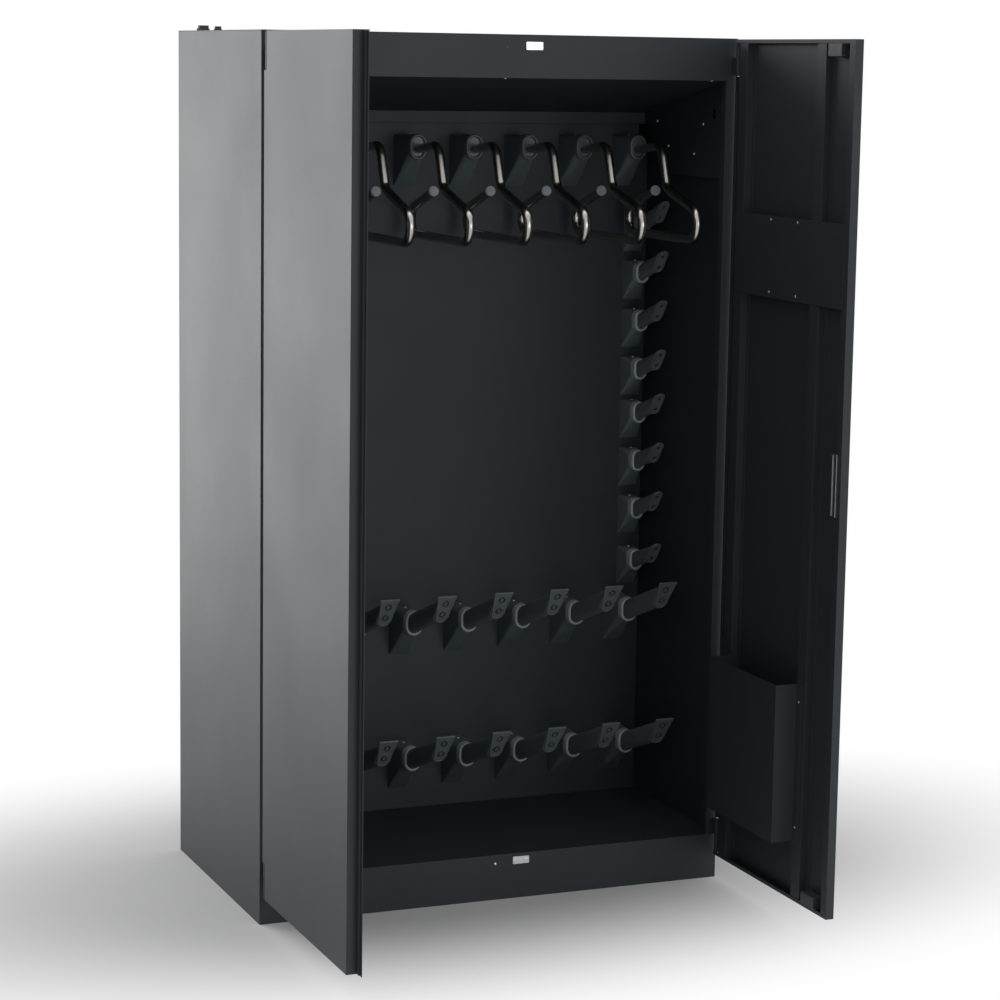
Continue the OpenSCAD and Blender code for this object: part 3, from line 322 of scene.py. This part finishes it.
def softened(node, width, body):
    # copy of a CAD node with its loose triangles joined and its edges slightly rounded
    look = softening
    bm = bmesh.new()
    bm.from_mesh(nodes[node].data)
    bm.transform(Matrix.Scale(1000, 4))
    bmesh.ops.remove_doubles(bm, verts=bm.verts, dist=look["merge"])
    bmesh.ops.dissolve_limit(bm, angle_limit=math.radians(look["flatBelow"]), verts=bm.verts, edges=bm.edges)
    folds = [e for e in bm.edges
             if len(e.link_faces) == 2 and e.calc_face_angle() > math.radians(look["foldAbove"])]
    bmesh.ops.bevel(bm, geom=folds, offset=width, offset_type="OFFSET", segments=look["steps"], profile=0.5,
                    affect="EDGES", material=-1, clamp_overlap=False)
    words = node.split("_")
    name = words[0] + "".join(w.title() for w in words[1:])
    keepFlat(makePiece(name, bm, slotChanges.get(node, slotOf[node]), body, [node], look["smoothBelow"]))


for body, widths in edgeWidths.items():
    for node, width in widths.items():
        softened(node, width, body)
print("sheet edges rounded")


# hoods of hangers and nozzles, and the collars round their mouths

# sideways places and heights of the rims' middles
pitch = 143
middleColumns = [(i - 3.5) * pitch for i in range(8)]
columns = {"hanger": middleColumns, "boot": middleColumns, "glove": [-537.5, 537.5]}
rows = {"hanger": [1738], "boot": [257, 594], "glove": [1551, 1431, 1311, 1191, 1083, 962, 841, 711]}
# flat: half the straight stretch left between a rim's two rounded corners
hoodLook = {"baseWidth": 50, "baseHigh": 26, "corner": 1.5, "steps": 6, "flat": 0.4, "wall": 2.2,
            "gapToCollar": 0.6, "intoCollar": 1}
# rim size, depth in front of the panel, lowest edge, and how far the collar stands past that depth
hoodSizes = {
    "hanger": {"rim": (44, 61), "depth": 103, "low": -97, "reach": 0},
    "boot": {"rim": (44, 61), "depth": 103, "low": -97, "reach": 7},
    "glove": {"rim": (36, 54), "depth": 58, "low": -71, "reach": 8},
}
collarLook = {"length": 14, "bead": 7.4, "rise": 6.5, "beadSteps": 10, "flat": 0.01, "smoothBelow": 50,
              "plate": [(0.2, -0.8), (0.4, 0.0)]}
# the nozzles' collars get the pale grey and the hangers' the darker cap grey: painted light, drawing the
# nozzles' collars as more brightly lit
collarSlotsWithPaintedLight = {"hanger": "cap_plastic", "boot": "knob_plastic", "glove": "knob_plastic"}


def rimFace(bm, width, height, level, flat):
    face = roundedFace(bm, boxCorners(width, height), [width / 2 - flat] * 4, hoodLook["steps"])
    bmesh.ops.translate(bm, vec=(0, 0, level), verts=face.verts)
    return face


def hoodShape(kind):
    # tapered funnel from the panel to the collar
    look, size = hoodLook, hoodSizes[kind]
    bm = bmesh.new()
    half, high, low = look["baseWidth"] / 2, look["baseHigh"], size["low"]
    base = roundedFace(bm, [(-half, low), (half, low), (half, high), (-half, high)],
                       [look["corner"]] * 4, look["steps"])
    width, height = [side - look["gapToCollar"] * 2 for side in size["rim"]]
    rim = rimFace(bm, width, height, size["depth"] - collarLook["length"] + look["intoCollar"], look["flat"])
    bmesh.ops.bridge_loops(bm, edges=base.edges[:] + rim.edges[:])
    bmesh.ops.delete(bm, geom=[base, rim], context="FACES_ONLY")
    return bm


def collarShape(kind):
    # rounded bead round the mouth of a hood; the hangers' has a plate that closes it
    look, size = collarLook, hoodSizes[kind]
    bm = bmesh.new()
    face = rimFace(bm, *size["rim"], size["depth"] - look["length"], look["flat"])
    flank = look["length"] - look["rise"] + size["reach"]
    stepFace(bm, face, [(0.0, flank)])
    for i in range(look["beadSteps"]):
        a, b = [math.pi * k / look["beadSteps"] for k in (i, i + 1)]
        stepFace(bm, face, [((math.cos(a) - math.cos(b)) * look["bead"] / 2,
                             (math.sin(b) - math.sin(a)) * look["rise"])])
    if kind == "hanger":
        stepFace(bm, face, look["plate"])
        closeBack(bm)
    else:
        stepFace(bm, face, [(0.0, -flank)])
        bmesh.ops.delete(bm, geom=[face], context="FACES_ONLY")
        closeRings(bm)
    return bm


hoodPlaces = {kind: [facingFront(x, panelY, z) for x in columns[kind] for z in rows[kind]]
              for kind in hoodSizes}
for kind, places in hoodPlaces.items():
    hood = makePiece(kind + "Hoods", repeated([(hoodShape(kind), places)]), "moulded_plastic",
                     replaced=[kind + "_hoods"])
    wall = hood.modifiers.new("wall", "SOLIDIFY")
    wall.thickness = hoodLook["wall"] / 1000
    wall.offset = -1
    keepFlat(hood)
    makePiece(kind + "Collars", repeated([(collarShape(kind), places)]), collarSlotsWithPaintedLight[kind],
              smoothBelow=collarLook["smoothBelow"])
print("hoods made")


# end caps of the tubes: plate with a raised border, vents, and a sleeve over the tube's end

# y and rise place the cap's middle, rise being measured from the row's height; lean is the cap's
# and tilt the tube's. Each vent: centre, half width, half height, sides, and the turn of the bar
# that carries its middle. Slot 0 leaves a vent fully open.
tubeEnds = {
    "boot": {"y": -155, "rise": 71.7, "lean": 35, "tilt": 20,
             "outline": [(-13.4, -42), (13.4, -42), (23.5, 44), (-23.5, 44)], "corners": [13, 13, 0, 0],
             "border": 2.2, "vents": [(20, 9.8, 12, 6, 225), (-15.5, 9.6, 11.8, 6, 45)], "slot": 4.6,
             "shadeDiscDrop": 1.4, "sleeve": (38, 86), "sleeveLong": 11, "sleeveWall": 2.5},
    "glove": {"y": -18, "rise": 34.1, "lean": 38, "tilt": 18,
              "outline": boxCorners(22, 66), "corners": [10.99] * 4,
              "border": 1.8, "vents": [(17, 5.2, 6.4, 6, 0), (-17, 5.2, 6.4, 6, 0)], "slot": 0,
              "shadeDiscDrop": 1.2, "sleeve": (29, 68), "sleeveLong": 10, "sleeveWall": 2.0},
}
capLook = {"thick": 4, "cornerSteps": 10, "edge": [(0.2, 0.5), (0.5, 0.2)], "borderStep": 0.8,
           "borderFall": [(0.25, 0.7), (0.35, 0.3)], "ventEdge": 0.25, "ventEdgeDrop": 0.3, "ventDepth": 12}
barLook = {"width": 2.4, "drop": 2.4, "overlap": 1, "steps": [(0.0, 1.8), (0.3, 0.2)]}
# dark discs behind the vents, painted shade for the tubes' dark insides
ventShadeLook = {"gap": 0.1, "thick": 4, "edge": 0.2}
sleeveLook = {"flat": 0.01, "steps": 8, "intoCap": 1.06}


def atTubeEnd(end, x, z):
    # plane of the cap's face: u to the right, v up along the leaning face, w out of it
    lean = math.radians(end["lean"])
    return axes((x, end["y"], z + end["rise"]), (1, 0, 0), (0, -math.sin(lean), math.cos(lean)))


def ventFace(bm, vent, smaller, level):
    centre, halfWidth, halfHeight, sides, barTurn = vent
    edge = bmesh.ops.create_circle(bm, cap_ends=True, segments=sides, radius=1)["verts"]
    bmesh.ops.scale(bm, vec=(halfWidth - smaller, halfHeight - smaller, 1), verts=edge)
    bmesh.ops.translate(bm, vec=(0, centre, level), verts=edge)
    return edge[0].link_faces[0]


def addBar(bm, vent, slot, level):
    # bar across the slot, from the plate to the middle of the vent
    look = barLook
    centre, halfWidth, halfHeight, sides, barTurn = vent
    turn = math.radians(barTurn)
    x = (halfWidth - slot / 2) * math.cos(turn)
    y = centre + (halfHeight - slot / 2) * math.sin(turn)
    bar = roundedFace(bm, boxCorners(look["width"], slot + look["overlap"]), [0] * 4, 1)
    bmesh.ops.rotate(bm, cent=(0, 0, 0), matrix=Matrix.Rotation(turn - math.pi / 2, 3, "Z"), verts=bar.verts)
    bmesh.ops.translate(bm, vec=(x, y, level - look["drop"]), verts=bar.verts)
    stepFace(bm, bar, look["steps"])


def capShape(end):
    look = capLook
    bm = bmesh.new()
    plate = roundedFace(bm, end["outline"], end["corners"], look["cornerSteps"])
    edgeRise = sum(lift for inset, lift in look["edge"])
    fall = [(inset, -look["borderStep"] * share) for inset, share in look["borderFall"]]
    stepFace(bm, plate, [(0.0, look["thick"] - edgeRise), *look["edge"], (end["border"], 0.0), *fall])
    level = plate.verts[0].co.z
    # the field between the border and the vents is filled anew, so that the vents stay open in it
    fieldEdges = plate.edges[:]
    bmesh.ops.delete(bm, geom=[plate], context="FACES_ONLY")
    faces = []
    for vent in end["vents"]:
        faces.append(ventFace(bm, vent, 0, level))
        fieldEdges += faces[-1].edges[:]
    bmesh.ops.triangle_fill(bm, use_beauty=True, edges=fieldEdges, normal=(0, 0, 1))
    for face, vent in zip(faces, end["vents"]):
        stepFace(bm, face, [(look["ventEdge"], -look["ventEdgeDrop"]), (0.0, -look["ventDepth"])])
        if end["slot"]:
            stepFace(bm, face, [(end["slot"], 0.0), (0.0, look["ventDepth"]),
                                (look["ventEdge"], look["ventEdgeDrop"])])
            addBar(bm, vent, end["slot"], level)
    closeBack(bm)
    return bm


def ventShadeDiscShape(end):
    # dark discs that close the vents a little below the plate's field: painted shade in place of the dark
    # inside of the tubes
    look = ventShadeLook
    bm = bmesh.new()
    top = capLook["thick"] - capLook["borderStep"] - end["shadeDiscDrop"]
    for vent in end["vents"]:
        face = ventFace(bm, vent, look["gap"], top - look["thick"])
        stepFace(bm, face, [(0.0, look["thick"] - look["edge"]), (look["edge"], look["edge"])])
    closeBack(bm)
    return bm


def sleeveShape(end):
    # short open sleeve along the tube, cut at the cap's slant
    look = sleeveLook
    along = math.radians(end["lean"] + end["tilt"])
    back = Vector((0, -math.sin(along), -math.cos(along))) * end["sleeveLong"]
    width, height = end["sleeve"]
    bm = bmesh.new()
    inside = roundedFace(bm, boxCorners(width, height), [width / 2 - look["flat"]] * 4, look["steps"])
    stepFace(bm, inside, [(end["sleeveWall"], 0.0)])
    bmesh.ops.delete(bm, geom=[inside], context="FACES_ONLY")
    bmesh.ops.translate(bm, vec=back, verts=bm.verts)
    grown = bmesh.ops.extrude_face_region(bm, geom=bm.faces[:])["geom"]
    bmesh.ops.translate(bm, vec=-back * look["intoCap"],
                        verts=[g for g in grown if isinstance(g, bmesh.types.BMVert)])
    return bm


endPlaces = {kind: [atTubeEnd(end, x, z) for x in columns[kind] for z in rows[kind]]
             for kind, end in tubeEnds.items()}
for kind, end in tubeEnds.items():
    makePiece(kind + "Caps",
              repeated([(capShape(end), endPlaces[kind]), (sleeveShape(end), endPlaces[kind])]),
              "cap_plastic", replaced=[kind + "_caps"])
# black discs behind the vents: painted shade where the tubes' dark insides would show
for kind, end in tubeEnds.items():
    makePiece(kind + "VentShadeDiscs", repeated([(ventShadeDiscShape(end), endPlaces[kind])]), "gland_plastic")
print("caps made")


# bent hanger tubes and their knobs

hangerZ = rows["hanger"][0]
hangerLook = {
    # depth and height of each corner, from the panel behind the rim's middle
    "path": [(-91, -5), (-231, 8), (-269, -92), (-434, -140),
             (-434, -205), (-57, -205), (-57, -147), (-200, -100)],
    "radii": [0, 38, 30, 36, 36, 33, 33, 0],
    "tube": 11, "sides": 32, "degreesPerStep": 5, "leastSteps": 4, "smoothBelow": 50,
}
knobLook = {"radius": 12.2, "sides": 40,
            "steps": [(0.0, 5.0), (0.3, 0.9), (0.8, 0.6), (1.2, 0.3), (1.6, 0.0), (0.5, -0.6), (3.4, -0.1)]}


def hangerShape(x):
    look = hangerLook
    points = [Vector((x, panelY + a, hangerZ + b)) for a, b in look["path"]]
    bm = bmesh.new()
    ring = bmesh.ops.create_circle(bm, cap_ends=True, segments=look["sides"], radius=look["tube"])["verts"]
    heading = (points[1] - points[0]).normalized()
    turn = Vector((0, 0, 1)).rotation_difference(heading).to_matrix()
    bmesh.ops.rotate(bm, cent=(0, 0, 0), matrix=turn, verts=ring)
    bmesh.ops.translate(bm, vec=points[0], verts=ring)
    edges = bm.edges[:]
    cutBefore = 0
    for i in range(len(points) - 1):
        run = points[i + 1] - points[i]
        heading = run.normalized()
        last = i == len(points) - 2
        after = None if last else (points[i + 2] - points[i + 1]).normalized()
        angle = 0 if last else heading.angle(after)
        cut = look["radii"][i + 1] * math.tan(angle / 2)
        grown = bmesh.ops.extrude_edge_only(bm, edges=edges)["geom"]
        ends = [g for g in grown if isinstance(g, bmesh.types.BMVert)]
        edges = [g for g in grown if isinstance(g, bmesh.types.BMEdge) and all(v in ends for v in g.verts)]
        bmesh.ops.translate(bm, vec=heading * (run.length - cutBefore - cut), verts=ends)
        if not last:
            axis = heading.cross(after).normalized()
            centre = points[i + 1] - heading * cut + axis.cross(heading) * look["radii"][i + 1]
            steps = max(look["leastSteps"], round(math.degrees(angle) / look["degreesPerStep"]))
            spun = bmesh.ops.spin(bm, geom=ends + edges, cent=centre, axis=axis, dvec=(0, 0, 0), angle=angle,
                                  steps=steps, use_merge=False, use_duplicate=False)["geom_last"]
            ends = [g for g in spun if isinstance(g, bmesh.types.BMVert)]
            edges = [g for g in spun if isinstance(g, bmesh.types.BMEdge)]
        cutBefore = cut
    closeBack(bm)
    return bm


for i, x in enumerate(columns["hanger"]):
    makePiece("hangerTube%d" % (i + 1), hangerShape(x), "dark_chrome", replaced=["hanger_%d" % (i + 1)],
              smoothBelow=hangerLook["smoothBelow"])

before, tip = [Vector((0, panelY + a, hangerZ + b)) for a, b in hangerLook["path"][-2:]]
outward = (tip - before).normalized()
knobPlaces = [axes((x, tip.y, tip.z), (1, 0, 0), outward.cross(Vector((1, 0, 0))))
              for x in columns["hanger"]]
makePiece("hangerKnobs", repeated([(turnedShape(knobLook), knobPlaces)]), "knob_plastic",
          replaced=["hanger_knobs"])
print("hangers made")


# screws, rivets and strike plates

# pan head with a six-lobed recess; betweenLobes draws every second point of the recess inwards
screwLook = {"radius": 3.5, "lobes": 6, "betweenLobes": 0.68,
             "steps": [(0.0, 0.88), (0.35, 0.66), (0.7, 0.484), (0.98, 0.176), (0.05, 0.0)],
             "recess": [(0.05, -1.32)]}
# blind rivet: low dome with the hole of the drawn pin
rivetLook = {"radius": 3.5, "sides": 16,
             "steps": [(0.0, 0.6), (0.42, 0.68), (0.77, 0.52), (0.91, 0.2), (0.12, -0.1), (0.1, -1.0)]}
screwSpots = {
    # depth and height on the duct covers, whose faces are at coverX on both sides
    "covers": [(-195, 1801), (55, 1802), (-150, 1730), (-10, 1744)], "coverX": 555.5,
    "underHeader": {"x": (-516, 0, 516), "y": -312.5, "z": 1903},
    "back": {"x": (-564, 564), "lowest": 60, "apart": 376, "count": 6},
    "rail": (0, bodyFront, 87),
    # height over the hood's middle and depth in front of the panel, on the top of each hood
    "hoods": {"hanger": (27.6, 44), "boot": (27.6, 44), "glove": (26.1, 17)},
}
# distance from the hinge edge and height on the right door
rivetSpots = {"coverPlate": [(s, z) for s in (217, 343) for z in (1434, 1597)],
              "pocket": [(s, z) for s in (67, 419) for z in (239, 529)], "inwards": 21.2}


def screwShape():
    look = screwLook
    bm = bmesh.new()
    bmesh.ops.create_circle(bm, cap_ends=True, segments=look["lobes"] * 2, radius=look["radius"])
    face = stepFace(bm, bm.faces[:][0], look["steps"])
    for v in face.verts[:][::2]:
        v.co.xy *= look["betweenLobes"]
    stepFace(bm, face, look["recess"])
    closeBack(bm)
    return bm


def bodyScrewPlaces():
    spots = screwSpots
    under, back = spots["underHeader"], spots["back"]
    places = [axes((s * -spots["coverX"], y, z), (0, s, 0), (0, 0, 1))
              for s in (1, -1) for y, z in spots["covers"]]
    places += [axes((x, under["y"], under["z"]), (1, 0, 0), (0, -1, 0)) for x in under["x"]]
    places += [axes((x, bodyBack, back["lowest"] + back["apart"] * i), (-1, 0, 0), (0, 0, 1))
               for x in back["x"] for i in range(back["count"])]
    return places + [facingFront(*spots["rail"])]


makePiece("bodyScrews", repeated([(screwShape(), bodyScrewPlaces())]), "bright_steel",
          replaced=["panel_screws"])
upright = Matrix.Rotation(-math.pi / 2, 4, "X")
onHoods = [place @ Matrix.Translation((0, *screwSpots["hoods"][kind])) @ upright
           for kind, places in hoodPlaces.items() for place in places]
makePiece("hoodScrews", repeated([(screwShape(), onHoods)]), "bright_steel", replaced=["hood_screws"])
rivetPlaces = [onRightDoor(s, rivetSpots["inwards"], z)
               for s, z in rivetSpots["coverPlate"] + rivetSpots["pocket"]]
makePiece("doorRivets", repeated([(turnedShape(rivetLook), rivetPlaces)]), "pull_aluminium", "right_door",
          ["right_door_rivets"])

strikeLook = {"width": 41, "height": 18, "corner": 2, "cornerSteps": 4, "steps": [(0.0, 0.65), (0.35, 0.35)],
              "x": 65, "levels": (91, 1975)}
countersunkLook = {"radius": 3.3, "sides": 18, "steps": [(0.0, 0.3), (0.5, 0.06), (1.2, 0.06), (0.35, -0.5)],
                   "apart": 29, "standOut": 0.7}
plate = bmesh.new()
face = roundedFace(plate, boxCorners(strikeLook["width"], strikeLook["height"]), [strikeLook["corner"]] * 4,
                   strikeLook["cornerSteps"])
stepFace(plate, face, strikeLook["steps"])
closeBack(plate)
platePlaces = [facingFront(strikeLook["x"], bodyFront, z) for z in strikeLook["levels"]]
makePiece("strikePlates", repeated([(plate, platePlaces)]), "bright_steel", replaced=["strike_plates"])
sideways = Matrix.Translation((countersunkLook["apart"] / 2, 0, countersunkLook["standOut"]))
otherWay = Matrix.Translation((-countersunkLook["apart"] / 2, 0, countersunkLook["standOut"]))
screwPlaces = [place @ shift for place in platePlaces for shift in (otherWay, sideways)]
makePiece("strikeScrews", repeated([(turnedShape(countersunkLook), screwPlaces)]), "bright_steel",
          replaced=["strike_screws"])
print("fasteners made")


# small trims: window of the door sensor, plugs in the right door's lips, black washers at the hinges whose
# black is painted shade

windowLook = {"radius": 5.2, "sides": 24, "z": 1971,
              "steps": [(0.3, 0.6), (0.5, 0.25), (0.9, 0.0), (0.3, -0.7), (1.2, 0.2)]}
# spots: distance from the hinge edge, distance inwards and height
plugLook = {"radius": 3.2, "sides": 16, "steps": [(0.3, 0.5), (0.5, 0.2), (0.6, -0.3)],
            "spots": [(567, 20, 1981.5), (566, 20, 83.5)]}
# soft washers between the body's knuckles and the doors' folds, inside the corner cuts; they close the gap
# there, and their black rubber is painted shade for the dark gap
gapShadeWasherLook = {"radius": 6.2, "sides": 28, "steps": [(0.0, 2.2), (0.3, 0.3)],
              "x": 566.5, "y": -347.5, "levels": (148.1, 1914.4)}
windowPlace = facingFront(0, bodyFront, windowLook["z"])
makePiece("sensorWindow", repeated([(turnedShape(windowLook), [windowPlace])]), "gland_plastic")
plugPlaces = [onRightDoor(*spot) for spot in plugLook["spots"]]
makePiece("doorPlugs", repeated([(turnedShape(plugLook), plugPlaces)]), "gland_plastic", "right_door")
gapShadeWasherPlaces = [Matrix.Translation((s * gapShadeWasherLook["x"], gapShadeWasherLook["y"], z))
                for s in (-1, 1) for z in gapShadeWasherLook["levels"]]
# black washers: painted shade for the gaps at the hinges
makePiece("hingeGapShadeWashers", repeated([(turnedShape(gapShadeWasherLook), gapShadeWasherPlaces)]), "seal_rubber")
print("trims made")


# studio: floor, light and camera, in metres

# seen is the floor's tone for camera, mirror and glass rays, darker than the albedo that the light bounces
# from: painted shade that deepens the floor round the cabinet. It fades to white over an oval round the
# cabinet, from fadeFrom to fadeTo of the stretched distance to its centre
floorLook = {"size": 14, "albedo": "#f6f6f6", "seen": "#c4c4c4", "centre": (-0.16, 0.01),
             "stretch": (1.34, 0.75), "fadeFrom": 0.5, "fadeTo": 1.64}


def seenDirectly(tree):
    # 1 for camera, mirror and glass rays, 0 for the light that the objects receive
    path = addNode(tree, "ShaderNodeLightPath").outputs
    first = addNode(tree, "ShaderNodeMath", {"operation": "MAXIMUM"},
                    links={0: path["Is Camera Ray"], 1: path["Is Glossy Ray"]}).outputs[0]
    return addNode(tree, "ShaderNodeMath", {"operation": "MAXIMUM"},
                   links={0: first, 1: path["Is Transmission Ray"]}).outputs[0]


def makeFloorFinish():
    look = floorLook
    finish = bpy.data.materials.new("paleStudioFloor")
    finish.use_nodes = True
    tree = finish.node_tree
    tree.nodes.clear()
    place = addNode(tree, "ShaderNodeTexCoord").outputs["Object"]
    (cx, cy), (sx, sy) = look["centre"], look["stretch"]
    oval = addNode(tree, "ShaderNodeMapping",
                   values={"Location": (-cx / sx, -cy / sy, 0), "Scale": (1 / sx, 1 / sy, 1)},
                   links={"Vector": place}).outputs[0]
    away = addNode(tree, "ShaderNodeVectorMath", {"operation": "LENGTH"}, links={0: oval}).outputs["Value"]
    fade = addNode(tree, "ShaderNodeMapRange", {"interpolation_type": "SMOOTHSTEP"},
                   {"From Min": look["fadeFrom"], "From Max": look["fadeTo"]}, {"Value": away}).outputs[0]
    seen = seenDirectly(tree)
    shown = addNode(tree, "ShaderNodeMath", {"operation": "MULTIPLY"}, links={0: fade, 1: seen}).outputs[0]
    # the darker tone for camera, mirror and glass rays is painted shade on the floor near the cabinet
    shadeDeepenedTint = mixColours(tree, seen, look["albedo"], look["seen"])
    matt = addNode(tree, "ShaderNodeBsdfDiffuse", links={"Color": shadeDeepenedTint}).outputs[0]
    white = addNode(tree, "ShaderNodeEmission", values={"Strength": 1.0}).outputs[0]
    mixed = addNode(tree, "ShaderNodeMixShader", links={0: shown, 1: matt, 2: white}).outputs[0]
    addNode(tree, "ShaderNodeOutputMaterial", links={"Surface": mixed})
    return finish


ground = bmesh.new()
bmesh.ops.create_grid(ground, x_segments=2, y_segments=2, size=floorLook["size"])
floorMesh = bpy.data.meshes.new("studioFloor")
ground.to_mesh(floorMesh)
ground.free()
floorMesh.materials.append(makeFloorFinish())
studioFloor = bpy.data.objects.new("studioFloor", floorMesh)
bpy.context.scene.collection.objects.link(studioFloor)

lightLook = {
    "world": 0.7,
    # name: place, aimed at, width, height, radiance
    "lamps": {
        "frontKey": ((1.2, -6.4, 1.7), (0, 0, 1.0), 3.0, 2.0, 2.9),
        "leftGlare": ((-2.24, 2.9, 1.6), (-0.6, 0, 1.3), 2.2, 3.4, 4.6),
        "top": ((0, -0.5, 5.0), (0, -0.3, 0), 3.0, 3.0, 1.0),
    },
}
world = bpy.data.worlds.new("paleStudio")
bpy.context.scene.world = world
world.use_nodes = True
tree = world.node_tree
tree.nodes.clear()
plainWhite = (1, 1, 1, 1)
dim, bright = [addNode(tree, "ShaderNodeBackground",
                       values={"Color": plainWhite, "Strength": strength}).outputs[0]
               for strength in (lightLook["world"], 1.0)]
both = addNode(tree, "ShaderNodeMixShader", links={0: seenDirectly(tree), 1: dim, 2: bright}).outputs[0]
addNode(tree, "ShaderNodeOutputWorld", links={"Surface": both})

for name, (place, target, width, height, radiance) in lightLook["lamps"].items():
    lamp = bpy.data.lights.new(name, "AREA")
    lamp.shape = "RECTANGLE"
    lamp.size, lamp.size_y = width, height
    lamp.energy = radiance * math.pi * width * height
    holder = bpy.data.objects.new(name, lamp)
    holder.location = place
    holder.rotation_euler = (Vector(place) - Vector(target)).to_track_quat("Z", "Y").to_euler()
    holder.visible_camera = False
    bpy.context.scene.collection.objects.link(holder)

# solved from the body's and the doors' corners in the photo; lens and sensor in millimetres
cameraLook = {"place": (-2.417, -6.1663, 1.939), "yaw": 22.46, "pitch": 8.91, "roll": 0.89, "lens": 100.63,
              "sensor": 36}
yaw, pitch, roll = [math.radians(cameraLook[k]) for k in ("yaw", "pitch", "roll")]
ahead = Vector((math.sin(yaw) * math.cos(pitch), math.cos(yaw) * math.cos(pitch), -math.sin(pitch)))
right = Vector((math.cos(yaw), -math.sin(yaw), 0))
up = right.cross(ahead)
rolledRight = right * math.cos(roll) + up * math.sin(roll)
rolledUp = up * math.cos(roll) - right * math.sin(roll)
eye = bpy.data.cameras.new("photoCamera")
eye.lens = cameraLook["lens"]
eye.sensor_width = cameraLook["sensor"]
camera = bpy.data.objects.new("photoCamera", eye)
facing = Matrix((rolledRight, rolledUp, -ahead)).transposed().to_4x4()
camera.matrix_world = Matrix.Translation(cameraLook["place"]) @ facing
bpy.context.scene.collection.objects.link(camera)
bpy.context.scene.camera = camera
bpy.context.scene.view_settings.view_transform = "Standard"
print("studio ready")
